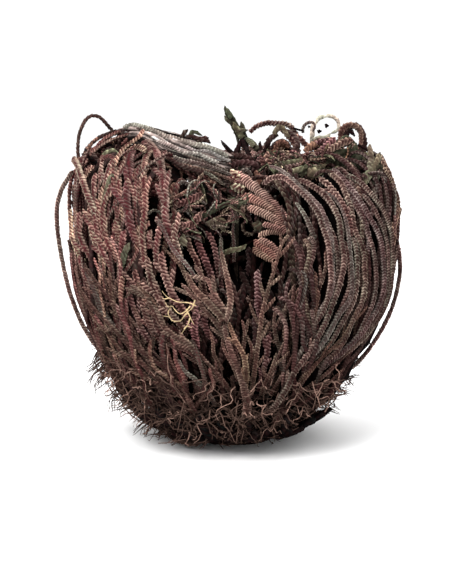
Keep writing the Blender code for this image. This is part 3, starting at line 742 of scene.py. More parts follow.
# Curled tufts: name, azimuths in degrees between which they grow, number and looks
TUFTS = (
    ("right_lobe_tufts", (-35, 75), 40, ("dark_olive", "olive", "shade", "braid", "dusty")),
    ("back_tufts", (75, 125), 18, ("shade", "arc", "braid", "dark_olive")),
    ("left_lobe_tufts", (125, 205), 24, ("shade", "shade", "braid", "orange", "dark")),
)
# Looks whose leaves are a clear plait, and shares of the widths listed above
PLAITED = ("braid", "pale_braid", "maroon")
WIDTH_SHARE = {"stem": 0.78, "arc": 0.90, "fan": 0.85}
# The foot of a strand on the bowl's face goes under its neighbours by this much
FOOT_DIVE = 0.0022

# The stage: area lights by place, size and power, an even light all round, and the floor
LAMPS = {
    "key": ((-0.35, -0.60, 0.75), 0.60, 13.5),
    "top": ((0.10, 0.05, 0.80), 0.90, 4.5),
}
ROUND_LIGHT = 1.12
FLOOR_REACH = 3.0
FLOOR_HEIGHT = -0.0003


class Spine:
    """The line that a frond or a stem follows, with its directions at each place."""

    def __init__(self, centre, out, half, length=None):
        steps = np.linalg.norm(np.diff(centre, axis=0), axis=1)
        self.at = np.concatenate([[0.0], np.cumsum(steps)])
        tangent = unit(np.gradient(centre, self.at, axis=0))
        out = out - tangent * np.sum(out * tangent, axis=1, keepdims=True)
        self.centre = centre
        self.out = unit(out)
        self.side = np.cross(tangent, self.out)
        self.half = np.broadcast_to(half, self.at.shape)
        self.length = length or self.at[-1]

    def read(self, values, distance):
        """Values of the spine at these distances along it."""
        if values.ndim == 1:
            return np.interp(distance, self.at, values)
        columns = [np.interp(distance, self.at, column) for column in values.T]
        return np.stack(columns, axis=-1)

    def lay(self, distance, sideways, outwards):
        """Points at these distances along, beside and out from the spine."""
        return (
            self.read(self.centre, distance)
            + self.read(self.side, distance) * sideways[:, None]
            + self.read(self.out, distance) * outwards[:, None]
        )


class Patch:
    """Vertices, faces and per-vertex values of many small surfaces in one mesh."""

    def __init__(self):
        self.points, self.quads, self.triangles = [], [], []
        self.margin, self.tint = [], []
        self.count = 0

    def add_tube(self, rings, margin, tint):
        """A closed tube from a grid of points: rings along it, columns round it. A pole
        closes each end. Faces turn outward where columns run clockwise along it."""
        number, columns, _ = rings.shape
        poles = np.stack([rings[0].mean(axis=0), rings[-1].mean(axis=0)])
        grid = self.count + np.arange(number * columns).reshape(number, columns)
        beside = np.roll(grid, -1, axis=1)
        first, last = self.count + number * columns + np.arange(2)
        self.quads.append(
            np.stack([grid[:-1], grid[1:], beside[1:], beside[:-1]], axis=-1).reshape(-1, 4)
        )
        start = np.stack([np.full(columns, first), grid[0], beside[0]], axis=-1)
        end = np.stack([np.full(columns, last), beside[-1], grid[-1]], axis=-1)
        self.triangles.append(np.concatenate([start, end]))
        self.points.append(np.concatenate([rings.reshape(-1, 3), poles]))
        self.margin.append(np.append(margin.reshape(-1), [0.3, 0.8]))
        tint = np.broadcast_to(tint, (number, columns, 4))
        self.tint.append(np.concatenate([tint.reshape(-1, 4), tint[[0, -1], 0]]))
        self.count += number * columns + 2

    def build(self, name, material):
        """One mesh object of everything added."""
        points = np.concatenate(self.points).astype(np.float32)
        quads = np.concatenate(self.quads)
        triangles = np.concatenate(self.triangles)
        corners = np.concatenate([quads.reshape(-1), triangles.reshape(-1)])
        sizes = np.repeat([4, 3], [len(quads), len(triangles)])
        mesh = bpy.data.meshes.new(name)
        mesh.vertices.add(len(points))
        mesh.vertices.foreach_set("co", points.reshape(-1))
        mesh.loops.add(len(corners))
        mesh.loops.foreach_set("vertex_index", corners.astype(np.int32))
        mesh.polygons.add(len(sizes))
        starts = np.concatenate([[0], np.cumsum(sizes)[:-1]])
        mesh.polygons.foreach_set("loop_start", starts.astype(np.int32))
        mesh.polygons.foreach_set("use_smooth", np.ones(len(sizes), bool))
        mesh.update(calc_edges=True)
        margin = mesh.attributes.new("margin", "FLOAT", "POINT")
        margin.data.foreach_set("value", np.concatenate(self.margin).astype(np.float32))
        tint = mesh.attributes.new("tint", "FLOAT_COLOR", "POINT")
        values = np.concatenate(self.tint).astype(np.float32)
        tint.data.foreach_set("color", values.reshape(-1))
        mesh.validate()
        mesh.materials.append(material)
        piece = bpy.data.objects.new(name, mesh)
        bpy.context.scene.collection.objects.link(piece)
        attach(piece, "root")
        return piece


def unit(vectors):
    """Vectors of length one: each divided by its length."""
    return vectors / np.linalg.norm(vectors, axis=-1, keepdims=True)


def polar(radius, azimuth, height):
    """Points at these distances from the plant's upright axis, azimuths and heights."""
    x, y, z = np.broadcast_arrays(radius * np.cos(azimuth), radius * np.sin(azimuth), height)
    return np.stack([x, y, z], axis=-1).astype(float)


def smooth(value, low, high):
    """0 below low, 1 above high, and an S curve between."""
    t = np.clip((value - low) / (high - low), 0.0, 1.0)
    return t * t * (3 - 2 * t)


def spread(number):
    """A value from -0.5 to 0.5 that differs between neighbouring numbers."""
    return (number * GOLDEN) % 1.0 - 0.5


def curve_through(knots, step):
    """A Catmull-Rom curve through the knots, read at even steps along it."""
    knots = np.asarray(knots, float)
    ends = 2 * knots[[0, -1]] - knots[[1, -2]]
    padded = np.concatenate([ends[:1], knots, ends[1:]])
    t = np.linspace(0, 1, 17)[:-1, None]
    a, b, c, d = (padded[k : len(padded) - 3 + k, None] for k in range(4))
    curve = 0.5 * (
        2 * b + (c - a) * t + (2 * a - 5 * b + 4 * c - d) * t**2 + (3 * b - a - 3 * c + d) * t**3
    )
    curve = np.concatenate([curve.reshape(-1, knots.shape[1]), knots[-1:]])
    steps = np.linalg.norm(np.diff(curve, axis=0), axis=1)
    at = np.concatenate([[0.0], np.cumsum(steps)])
    places = np.linspace(0, at[-1], max(int(at[-1] / step), 6))
    return np.stack([np.interp(places, at, column) for column in curve.T], axis=-1)


def camera_axes():
    """The camera's directions to the right, up and forward, and its place."""
    level, rise = math.cos(CAMERA_ELEVATION), math.sin(CAMERA_ELEVATION)
    axes = np.array([[1.0, 0.0, 0.0], [0.0, rise, level], [0.0, level, -rise]])
    return axes, np.array(CAMERA_AIM) - axes[2] * CAMERA_DISTANCE


def lines_of_sight(pixels):
    """The camera's place, and the direction from it through each pixel, one metre deep."""
    (right, up, forward), place = camera_axes()
    x = (pixels[:, 0] - FRAME_WIDTH / 2) * PIXEL_SLOPE
    y = (FRAME_HEIGHT / 2 - pixels[:, 1]) * PIXEL_SLOPE
    return place, forward + right * x[:, None] + up * y[:, None]


def past_outline(points):
    """How many pixels points lie outside the outline, seen from the camera. The outline
    is read as a radius round its middle at each angle."""
    axes, place = camera_axes()
    seen = (points - place) @ axes.T
    seen = seen[:, :2] / seen[:, 2:] / PIXEL_SLOPE * [1, -1]
    away = seen + [FRAME_WIDTH / 2, FRAME_HEIGHT / 2] - OUTLINE_MIDDLE
    line = OUTLINE - OUTLINE_MIDDLE
    angles = np.arctan2(line[:, 1], line[:, 0])
    turn = np.arctan2(away[:, 1], away[:, 0])
    return np.hypot(*away.T) - np.interp(turn, angles, np.hypot(*line.T), period=math.tau)


def kept_inside(points, allowance, free=0):
    """How many of the points come before the first one that lies this many pixels
    outside the outline. The first few may lie anywhere."""
    past = past_outline(points) > allowance
    past[:free] = False
    return int(past.argmax()) if past.any() else len(points)


def drawn_in(points):
    """The same points, with those low ones that lie outside the outline moved level
    towards the plant's middle until they meet it."""
    points = points.copy()
    low = 1 - smooth(points[:, 2], 0.050, 0.062)
    for _ in range(3):
        past = np.maximum(past_outline(points) + 2, 0) * low
        points[:, 0] -= np.sign(points[:, 0]) * past * PIXEL_SLOPE * CAMERA_DISTANCE
    return points


def outside_bowl(points, inset):
    """How far points lie outside the bowl's outer face drawn in by inset: a quarter of
    an ellipse, an upright side and the arc of a circle that curls in."""
    x, y, z = points[..., 0], points[..., 1], points[..., 2]
    radius = np.hypot(x, y)
    front = (y / np.maximum(radius, 1e-6)) ** 2
    widest = WIDEST_RADIUS + FACE_OUT - FLATTER_BY * front - inset
    z = z - LOBE_RISE * (1 - 2 * front) * smooth(z, 0.045, CURL_HEIGHT)
    curl = np.maximum(CURL_RADIUS - inset, 0.004)
    foot = FOOT_HEIGHT + 0.5 * inset
    t = np.clip((WAIST_HEIGHT - z) / (WAIST_HEIGHT - foot), 0, 1)
    side = radius - (FOOT_RADIUS + (widest - FOOT_RADIUS) * np.sqrt(1 - t * t))
    over = np.hypot(np.maximum(radius - widest + curl, 0), z - CURL_HEIGHT) - curl
    return np.where(z > CURL_HEIGHT, over, side)


def bowl_radius(height):
    """Radius of the bowl at a height below its waist, on a quarter of an ellipse."""
    t = (WAIST_HEIGHT - height) / (WAIST_HEIGHT - FOOT_HEIGHT)
    return FOOT_RADIUS + (WIDEST_RADIUS - FOOT_RADIUS) * math.sqrt(max(1 - t * t, 0.02))


def trace(pixels, inset):
    """Points where the lines of sight through these pixels first meet the bowl drawn in
    by inset, or pass nearest to it, with a polynomial along the path to even out their
    depth, and the directions that their strand faces: away from the plant and towards
    the camera."""
    pixels = curve_through(pixels, PIXEL_STEP)
    start, ways = lines_of_sight(pixels)
    deep = np.linspace(NEAREST, FURTHEST, 241)
    reach = outside_bowl(start + ways[:, None] * deep[:, None], inset)
    inside = reach < 0
    first = np.where(inside.any(axis=1), inside.argmax(axis=1), reach.argmin(axis=1))
    share = np.linspace(0, 1, len(pixels))
    degree = 4 if len(pixels) > 12 else 2
    found = np.polyval(np.polyfit(share, deep[first], degree), share)
    points = start + ways * found[:, None]
    away = unit(points * [1, 1, 0.6] - [0, 0, 0.6 * BALL_MIDDLE])
    return points, unit(away - 0.6 * unit(ways))


def at_depth(pixels):
    """Points on the lines of sight through these pixels, each at its own depth, and the
    directions from them to the camera."""
    start, ways = lines_of_sight(pixels)
    deep = (pixels[:, 2] / 1000 - start[1]) / ways[:, 1]
    return start + ways * deep[:, None], -unit(ways)


def place_at_depth(pixels):
    """Points on a curve through these pixels, each at its own depth, and the directions
    that their strand faces: towards the camera."""
    return at_depth(curve_through(pixels, PIXEL_STEP))


def frond_azimuth(whorl, number):
    """A frond's azimuth: those of a whorl stand evenly round the plant."""
    count, first, *_ = WHORLS[whorl]
    return math.tau * (number - 1 + first) / count


def frond_spine(whorl, number):
    """A quarter of an ellipse out of the crown, an upright side, and an arc of a circle
    that curls in. The middle leans round the plant by half a wave of a sine."""
    inset, waist, curl_height, curl_radius = WHORLS[whorl][2:]
    level = list(WHORLS).index(whorl)
    azimuth = frond_azimuth(whorl, number)
    base_radius = FIRST_WHORL_RADIUS - WHORL_STEP_OUT * level
    base_height = FIRST_WHORL_HEIGHT + WHORL_STEP_UP * level
    widest = WIDEST_RADIUS - inset - FLATTER_BY * math.sin(azimuth) ** 2
    curl_height += LOBE_RISE * math.cos(2 * azimuth) + HEIGHT_SPREAD * spread(number)
    curl_end = CURL_END + CURL_SPREAD * spread(number + 2 * level + 3)

    bowl = np.linspace(0, math.pi / 2, 90)[:-1]
    curl = np.linspace(0, curl_end + CURL_PAST_END, 90)
    radius = np.concatenate([
        base_radius + (widest - base_radius) * np.sin(bowl),
        np.full(12, widest),
        widest - curl_radius + curl_radius * np.cos(curl),
    ])
    height = np.concatenate([
        waist - (waist - base_height) * np.cos(bowl),
        np.linspace(waist, curl_height, 13)[:-1],
        curl_height + curl_radius * np.sin(curl),
    ])
    steps = np.hypot(np.diff(radius), np.diff(height))
    at = np.concatenate([[0.0], np.cumsum(steps)])
    length = np.interp(curl_end, curl, at[-90:])
    share = at / length
    if (whorl, number) in SHORT_FRONDS:
        length *= SHORT_FRONDS[whorl, number]
        share = at / length
        narrowing = 1 - FREE_TIP_SHARE
        share = np.where(
            share < narrowing,
            share / narrowing * ALONG[3],
            ALONG[4] + (1 - ALONG[4]) * (share - narrowing) / FREE_TIP_SHARE,
        )
    half = FROND_HALF_WIDTH * HALF_WIDTH_SHARE[whorl] * np.interp(share, ALONG, WIDTH_THERE)
    azimuth += TURN_SPREAD * spread(3 * number)
    radial = polar(1.0, azimuth, 0.0)
    around = polar(1.0, azimuth + math.pi / 2, 0.0)
    up = np.array([0.0, 0.0, 1.0])
    lean = WHORL_LEAN[whorl] * np.sin(np.pi * np.clip(at / length, 0, 1))
    centre = radius[:, None] * radial + lean[:, None] * around + height[:, None] * up
    rise = np.gradient(height, at)
    run = np.gradient(radius, at)
    out = rise[:, None] * radial - run[:, None] * up
    return Spine(centre, out, half, length)


def braid(patch, rng, centre, out, width, look, pitch, tint, turn=EIGHT_SIDES, taper=0.38):
    """A branchlet clad in scale leaves. A flattened tube follows the path, with two rings
    to a pitch. On its left and right columns, half a pitch apart, it swells to a leaf's
    free edge and steps back to the foot of the next leaf, which lies behind that edge.
    The rings slant back from the middle line. Margin is 1 at free edges and 0 in the
    grooves, lower along the middle line; the material paints shade where it is low. The side
    away from where the strand faces is darkened as painted shade."""
    _, _, relief, flat, stretch, midline = LOOKS[look]
    pitch = pitch * stretch
    spine = Spine(centre, out, width / 2)
    length = spine.at[-1]
    number = max(int(2 * length / pitch), 6)
    ring = np.arange(number)[:, None]
    aside = np.abs(np.cos(turn))[None, :]
    edge = (np.cos(turn) < 0) == (ring % 2 == 0)
    slant = EDGE_SLANT * width * aside + FOOT_BEHIND * pitch * ~edge
    along = np.clip(ring * length / (number - 1) - slant, 0.0, length)
    swell = np.where(edge, 1.0, 1 - relief) * rng.normal(1.0, 0.09, along.shape)
    margin = 0.5 + 1.1 * midline * (aside - 0.55) + np.where(edge, 1, -1) * (0.5 - 0.18 * midline)
    margin = np.clip(margin + rng.normal(0, 0.03 + 0.09 * midline, along.shape), 0, 1)
    tip = np.sqrt(np.clip((length - along) / (0.8 * width), 0.08, 1.0))
    root = 1 - taper + taper * smooth(along, 0, min(0.25 * length, 0.008))
    if midline > 0.85:
        root = root * (1 - 0.35 * smooth(along / length, 0.3, 1.0))
    wide = width / 2 * swell * tip * root
    places = along.reshape(-1)
    points, side, face = (
        spine.read(values, places).reshape(*along.shape, 3)
        for values in (spine.centre, spine.side, spine.out)
    )
    points = points + side * (wide * np.cos(turn))[..., None]
    points = points + face * (wide * np.sin(turn) * flat)[..., None]
    share = (along / length)[..., None]
    colour = tint[0] + (tint[1] - tint[0]) * share
    waves = np.sin(along[..., None] / rng.uniform(0.0015, 0.0045, 2) + rng.uniform(0, 6, 2))
    rings_bright = rng.normal(1.0, RING_UNEVEN, (number, 1, 1))
    bright = rings_bright * rng.normal(1.0, LEAF_UNEVEN, (*along.shape, 1))
    # Painted shade: the side of the strand away from where it faces is darker
    behind = 0.35 + 0.65 * smooth(np.sin(turn), -0.6, 0.35)
    bright = np.clip(bright * (1 + 0.22 * waves[..., :1]), 0.35, 1.8) * behind[:, None]
    redder = 1 + waves[..., 1:] * [0.03, -0.07, -0.05]
    colour = np.concatenate([colour[..., :3] * bright * redder, colour[..., 3:]], axis=-1)
    patch.add_tube(points, margin, np.clip(colour, 0.002, 1.0))


def tints(rng, look, base=None):
    """Colour at a strand's two ends, with the strength of its dark grooves as alpha."""
    own = np.array(LOOKS[look][0])
    groove = LOOKS[look][1]
    colour = np.stack([own if base is None else np.array(base), own])
    colour = colour * rng.normal(1.0, 0.14) * (1 + rng.normal(0, 0.03, 3))
    ends = np.array([[groove * (1 if base is None else 0.3)], [groove]])
    return np.clip(np.concatenate([colour, ends], axis=1), 0.004, 1.0)


def frond_tints(rng, heights, look, level, lift=0.0):
    """Brown and plain at the crown, the frond's own colour above, darker inside and
    brighter where the strand is lifted off the frond. The brown is the stems' own colour; the
    darkening at the crown and in inner whorls is painted shade, and the lift paints light on
    strands that stand out and shade on those that lie under."""
    own = np.array(LOOKS[look][0])
    # The stems' brown at 0.42 of its brightness: painted shade low down
    base = np.array(LOOKS["stem"][0]) * 0.42
    blend = smooth(heights, 0.010, 0.052)[:, None]
    # 0.60 per whorl inward is painted shade; the lift term is painted light and shade
    colour = (base * (1 - blend) + own * blend) * 0.60**level * (1 + 220 * lift)
    colour = colour * rng.normal(1.0, 0.16) * SHIFTS[rng.integers(len(SHIFTS))]
    groove = LOOKS[look][1] * (0.35 + 0.65 * blend)
    return np.clip(np.concatenate([colour, groove], axis=1), 0.003, 1.0)


def branch_paths(spine, rng, branches, reach, cut):
    """Where the strands of a frond run: its stem, side branches that leave it left and
    right in turn and wander beside it, and forked spurs on those. Each is given as
    distances along, sideways and outwards, a share of the strand width and its lift."""
    length = spine.length
    limit = min(spine.at[-1] - 0.001, cut * length)
    phase = rng.uniform(0, math.tau, 4)

    def stem_side(s):
        return 0.0010 * np.sin(s / 0.0065 + phase[0]) * smooth(s, 0.004, 0.03)

    s = np.arange(0, min(length * rng.uniform(0.93, 1.05), limit), PATH_STEP)
    paths = [(s, stem_side(s), np.zeros_like(s), 1.0, 0.0)]
    starts = np.linspace(0.06, min(0.86, cut - 0.1), branches) * length
    starts = starts + rng.uniform(-0.03, 0.03, branches) * length
    for k, start in enumerate(starts):
        hand = 1 if k % 2 else -1
        run = rng.uniform(*reach) * length
        end = min(start + run, length * rng.uniform(0.95, 1.14), limit * rng.uniform(0.86, 1.0))
        s = np.arange(max(start, 0), end, PATH_STEP)
        if len(s) < 9:
            continue
        share = rng.uniform(0.15, 1.30) * hand
        settle = rng.uniform(0.008, 0.022)
        leaving = smooth(s, start, start + settle)
        half = spine.read(spine.half, s)
        slow = rng.uniform(0.0003, 0.0015) * np.sin(s / rng.uniform(0.005, 0.012) + 7 * k)
        quick = rng.uniform(0.0001, 0.0005) * np.sin(s / rng.uniform(0.0012, 0.0030) + k)
        sideways = stem_side(s) * (1 - leaving) + leaving * (half * share + slow + quick)
        lift = rng.uniform(-0.0020, 0.0010)
        free = smooth(s, end - 0.010, end) * rng.uniform(-0.5, 2.0) * 0.001
        rise = 0.0007 * np.sin(s / rng.uniform(0.006, 0.012) + 3 * k)
        outwards = leaving * (lift + rise) + free
        paths.append((s, sideways, outwards, rng.uniform(0.75, 1.10), lift))
        for place in np.arange(start + 0.35 * run, end - 0.004, rng.uniform(0.009, 0.018)):
            spur = np.arange(place, min(place + rng.uniform(0.005, 0.012), limit), PATH_STEP)
            if len(spur) < 6:
                continue
            at = np.interp(place, s, sideways)
            off = smooth(spur, place, place + 0.008)
            away = hand * rng.choice([-1, 1]) * rng.uniform(0.0014, 0.0036)
            up = np.interp(place, s, outwards) + off * rng.uniform(-0.4, 1.5) * 0.001
            paths.append((spur, at + off * away, up, rng.uniform(0.7, 0.95), lift))
    return paths


def curled_tip(rng, points, run, tightness):
    """The same points with a run added whose bend grows evenly, in a plane of its own."""
    s = np.arange(1, int(run / PATH_STEP))
    along = unit(points[-1] - points[-3])
    inward = unit(np.array([0, 0, 0.050]) - points[-1])
    beside = unit(np.cross(along, rng.normal(size=3) + 1.4 * np.cross(along, inward)))
    bend = tightness * (s / s[-1]) * s * 0.5
    heading = along * np.cos(bend)[:, None] - beside * np.sin(bend)[:, None]
    return np.concatenate([points, points[-1] + np.cumsum(heading, axis=0) * PATH_STEP])


def add_frond(patch, spine, rng, settings, level, style):
    """The strands of one frond, on its spine, and the coarser, dark ones side by side under
    them that close it behind, so that its gaps show painted shade. Inner whorls are darker by
    the same share each, as painted shade."""
    paths = branch_paths(spine, rng, style.branches, style.reach, style.cut)
    dimmed = [style.bright] * 3 + [1]
    for s, sideways, outwards, size, lift in paths:
        roll = rng.normal(0, 0.5)
        out = spine.read(spine.out, s) * math.cos(roll) + spine.read(spine.side, s) * math.sin(roll)
        points = drawn_in(spine.lay(s, sideways, outwards))
        if s[-1] > 0.66 * spine.length and rng.random() < 0.8 and level < 2:
            points = curled_tip(rng, points, rng.uniform(0.005, 0.014), rng.uniform(0.2, 0.6))
            out = np.concatenate([out, np.broadcast_to(out[-1], (len(points) - len(out), 3))])
        kept = kept_inside(points, rng.uniform(-3, 4), free=len(points) // 2)
        points, out = points[:kept], out[:kept]
        width = settings.strand_width * size * style.width
        pitch = settings.leaf_pitch * style.leaf * rng.uniform(0.92, 1.1)
        colours = frond_tints(rng, points[[0, -1], 2], style.look, level, lift) * dimmed
        braid(patch, rng, points, out, width, style.look, pitch, colours, SIX_SIDES)
    width, leaf, bright = BACKING[style.backing]
    pitch = settings.leaf_pitch * leaf
    sides = FOUR_SIDES if style.backing == "dark" else SIX_SIDES
    for share in np.linspace(-1.35, 1.35, 8 if level == 0 else 6):
        start = rng.uniform(0.02, 0.08) * spine.length
        end = min(rng.uniform(0.80, 0.92), style.closed, style.cut - 0.02) * spine.length
        s = np.arange(start, end, 0.0016)
        wave = 0.0012 * np.sin(s / rng.uniform(0.004, 0.010) + rng.uniform(0, 6))
        half = np.maximum(spine.read(spine.half, s), 0.0068 * smooth(s, 0.012, 0.040))
        sideways = half * share + wave
        outwards = 0.6 * wave - BACKING_DEPTH
        points = drawn_in(spine.lay(s, sideways, outwards))
        kept = kept_inside(points, -4, free=len(points) // 2)
        out = spine.read(spine.out, s[:kept])
        # The backing's tint, dimmed by its brightness: painted shade in the gaps
        colours = tints(rng, style.backing) * [bright, bright, bright, 0.3]
        braid(patch, rng, points[:kept], out, width, style.backing, pitch, colours, sides)


class FrondStyle(NamedTuple):
    """How the strands of one frond look and run. Reach is the shortest and longest side
    branch over the frond's length, and width and leaf are over the usual width and
    pitch. Cut and closed are shares of the frond's length: where its strands stop
    following it, and how far it is closed behind by strands of the backing look."""

    look: str
    branches: int
    reach: tuple
    width: float
    leaf: float
    bright: float = 1.0
    cut: float = 1.0
    closed: float = 1.0
    backing: str = "dark"


def style_of(whorl, number):
    """A frond's style by its azimuth in degrees, where 270 is the open front: braided on
    the left, smoother on the right, fuller behind, and plain and dark inside, where the shade
    look paints shade. Those at the front are closed behind only near the crown. Their backing
    is near black, painted shade, except on the sides and back of the outer whorl, where it is
    dark brown. In the two outer whorls the strands of the left and right end below the top,
    where those listed by pixels lie."""
    azimuth = math.degrees(frond_azimuth(whorl, number))
    closed = 0.40 if 235 < azimuth < 318 else 1.0
    if whorl == "third":
        return FrondStyle("shade", 8, (0.34, 0.60), 1.1, 2.0, closed=closed)
    if whorl in ("fourth", "inner"):
        return FrondStyle("shade", 7, (0.34, 0.60), 1.2, 2.2)
    behind = 20 < azimuth < 160
    if whorl == "outer":
        branches = 16 if behind else 12
        leaf = 1.15 if behind else 1.0
        backing = "dark" if 235 < azimuth < 340 else "shade"
    else:
        branches, leaf, backing = 8, 1.7, "dark"
    if 112 < azimuth < 262:
        cut = 0.80 if azimuth > 150 else 1.1
        reach = (0.28, 0.52)
        return FrondStyle("braid", branches, reach, 1.0, leaf, 0.88, cut, closed, backing)
    cut = 0.78 if azimuth < 50 or azimuth > 300 else 1.1
    bright, width = (1.0, 1.12) if behind else (0.62, 0.88)
    reach = (0.36, 0.72)
    return FrondStyle("arc", branches, reach, width, leaf * 1.1, bright, cut, closed, backing)


def add_strap(patch, rng, centre, out, width, tint):
    """Weathered bark: a flat tube whose ridges and streaks run lengthwise, with dark
    cracks between them that open and close along it by a sine."""
    spine = Spine(centre, out, width / 2)
    number, columns = len(centre), STRAP_COLUMNS
    turn = math.tau * np.arange(columns) / columns
    share = np.linspace(0, 1, number)[:, None]
    ridge = rng.normal(0, 0.10, columns) + rng.normal(0, 0.05, (number, columns))
    ends = np.sqrt(np.clip(np.minimum(share, 1 - share) * 9, 0.05, 1.0))
    wide = width / 2 * (1 + ridge) * ends
    rings = spine.centre[:, None] + spine.side[:, None] * (wide * np.cos(turn))[..., None]
    rings = rings + spine.out[:, None] * (wide * 0.3 * np.sin(turn))[..., None]
    streak = rng.choice([0.15, 0.45, 0.9, 1.2, 1.5], columns)
    cracks = 1 + 0.5 * np.sin(share * rng.uniform(6, 22, columns) + rng.uniform(0, 6, columns))
    bright = streak * cracks * rng.normal(1, 0.18, (number, columns))
    colour = np.empty((number, columns, 4))
    colour[..., :3] = np.clip(tint[:3] * bright[..., None], 0.004, 0.5)
    colour[..., 3] = 0
    patch.add_tube(rings[:, ::-1], np.full((number, columns), 0.6), colour[:, ::-1])


def add_bark(patch, rng, number):
    """Narrow straps of bark side by side, on lines blended between the band's upper and
    lower edge, each waved a little and cut to its own length."""
    top, foot = np.array(BARK_TOP, float), np.array(BARK_FOOT, float)
    for share in np.linspace(0, 1, number):
        knots = top + (foot - top) * np.clip(share + rng.normal(0, 0.05), 0, 1)
        knots[:, 1] += rng.normal(0, 1.8, len(knots))
        knots[:, 2] += rng.normal(-0.8, 0.7, len(knots))
        points, out = place_at_depth(knots)
        first = rng.integers(0, len(points) // 5)
        last = len(points) - rng.integers(1, len(points) // 5)
        tint = np.array([*LOOKS["bark"][0], 0]) * rng.choice([0.14, 0.45, 1.1, 1.7])
        width = rng.uniform(0.0005, 0.0014)
        add_strap(patch, rng, points[first:last:2], out[first:last:2], width, tint)


def add_nubs(patch, rng, points, out, width, look, pitch, colours):
    """Short side shoots, left and right in turn along a strand, straight at first and
    bent along it by the square of the distance."""
    places = np.arange(rng.integers(5, 10), len(points) - 6, rng.integers(6, 11))
    for k, place in enumerate(places):
        along = unit(points[place + 2] - points[place - 2])
        side = np.cross(along, out[place]) * (1 if k % 2 else -1)
        turned = unit(along + side * rng.uniform(0.35, 1.0) + out[place] * rng.uniform(-0.2, 0.4))
        s = np.linspace(0, rng.uniform(0.0022, 0.0058), 9)[:, None]
        stub = points[place] + turned * s + along * s * s * 70
        if past_outline(stub)[-1] > 3:
            continue
        faces = np.broadcast_to(out[place], stub.shape)
        thin = width * rng.uniform(0.55, 0.8)
        braid(patch, rng, stub, faces, thin, look, pitch, colours, SIX_SIDES, 0.1)


def add_strands(patch, rng, settings, strands, traced, bright=1.0):
    """Strands by the pixels that they pass through, darker towards the crown as painted shade.
    A traced one lies on the bowl, its foot under its neighbours, and may bear side shoots."""
    for look, width, *inset, pixels in strands:
        if traced:
            points, out = trace(pixels, inset[0] / 1000)
        else:
            points, out = place_at_depth(pixels)
        colours = tints(rng, look)
        # Painted shade: down to half as bright towards the crown
        low = 0.50 + 0.50 * smooth(points[[0, -1], 2], 0.010, 0.050)
        colours[:, :3] *= bright * low[:, None]
        if traced:
            risen = smooth(np.arange(len(points)), 0, 14)[:, None]
            points = points - out * (1 - risen) * FOOT_DIVE
        width *= WIDTH_SHARE.get(look, 1.0) / 1000
        pitch = settings.leaf_pitch * (1.12 if look in PLAITED else 1.0)
        braid(patch, rng, points, out, width, look, pitch, colours, taper=0.15)
        if traced and look in ("stem", "braid", "maroon") and width > 0.0013:
            add_nubs(patch, rng, points, out, width, look, pitch, colours)


def add_tuft(patch, rng, settings, start, heading, looks, size=1.0):
    """A few short strands that leave one place, straight at first, and end in curls."""
    for _ in range(rng.integers(2, 5)):
        turned = unit(heading + rng.normal(0, 0.6, 3))
        points = start + turned * np.linspace(0, size * rng.uniform(0.001, 0.004), 6)[:, None]
        points = curled_tip(rng, points, size * rng.uniform(0.005, 0.013), rng.uniform(0.3, 0.7))
        points = points[: kept_inside(points, rng.uniform(-5, 0))]
        if len(points) < 7:
            continue
        out = np.broadcast_to(unit(rng.normal(size=3)), points.shape)
        look = looks[rng.integers(len(looks))]
        width = settings.strand_width * size * rng.uniform(0.45, 0.95)
        colours = tints(rng, look)
        braid(patch, rng, points, out, width, look, settings.leaf_pitch, colours, SIX_SIDES)


def add_hair(patch, points, radius, tint):
    """A wiry root: a three-sided tube along the points that thins to 0.3 of its radius
    and stays over the floor."""
    points = np.array(points, float)
    points[:, 2] = np.maximum(points[:, 2], 1.2 * radius)
    spine = Spine(points, np.broadcast_to([0.3, 0.2, 1.0], points.shape), radius)
    turn = np.radians([90, 210, 330])
    share = np.linspace(1, 0.3, len(points))
    x = radius * share[:, None] * np.cos(turn)
    y = radius * share[:, None] * np.sin(turn)
    rings = points[:, None] + spine.side[:, None] * x[..., None]
    rings = rings + spine.out[:, None] * y[..., None]
    patch.add_tube(rings, np.full(x.shape, 0.6), tint)


def sway(rng, points, size):
    """The same points, swayed in two slow waves that grow away from the base."""
    share = np.linspace(0, 1, len(points))[:, None]
    first, second = unit(rng.normal(size=(2, 3)))
    turns = rng.uniform(0.8, 2.6, 2) * math.tau
    phase = rng.uniform(0, math.tau, 2)
    waves = first * np.sin(turns[0] * share + phase[0]) + second * np.sin(turns[1] * share + phase[1])
    return points + size * waves * smooth(share, 0, 0.3)


def hair_tint(rng, low, high):
    """A root's colour: brown, from dark to pale."""
    bright = rng.uniform(low, high)
    return np.array([bright, bright * 0.61, bright * 0.48, 0.2])


def add_spikes(patch, rng, radius):
    """Root ends that stand out of the plant's outline, a few beside each other, near
    the middle of its depth."""
    for pixels in ROOT_SPIKES:
        for _ in range(SPIKES_BESIDE):
            shifted = np.pad(pixels, ((0, 0), (0, 1))) + rng.normal(0, 2.6, 3)
            points, _ = place_at_depth(shifted + rng.normal(0, 0.8, shifted.shape))
            add_hair(patch, points[1::2], radius * rng.uniform(0.9, 1.5), hair_tint(rng, 0.02, 0.10))


def root_line(reach):
    """Distance from the axis and height on the line that the roots follow, at these
    places along it, counted in its points."""
    at = np.arange(len(ROOT_RADIUS))
    return np.interp(reach, at, ROOT_RADIUS), np.interp(reach, at, ROOT_HEIGHT)


def spreading_root(rng, degrees, furthest):
    """A root that goes along its bundle's line for a while, at a height of its own over
    it, turns evenly round the plant and sways."""
    azimuth = math.radians(degrees + rng.uniform(-34, 34))
    start = rng.uniform(0.0, 4.2)
    reach = np.linspace(start, min(start + rng.uniform(0.9, 2.4), 6.0) * furthest, 10)
    out, up = root_line(reach)
    up = up + rng.uniform(-0.001, 0.008) * smooth(reach, 0, 3)
    turned = azimuth + np.linspace(0, rng.normal(0, 0.3), 10)
    points = sway(rng, polar(out, turned, up), rng.uniform(0.0004, 0.0014))
    points[:, 2] = np.maximum(points[:, 2], 0.0008 + 0.7 * (up - 0.0012))
    return points[: kept_inside(points, rng.uniform(-2, 6))]


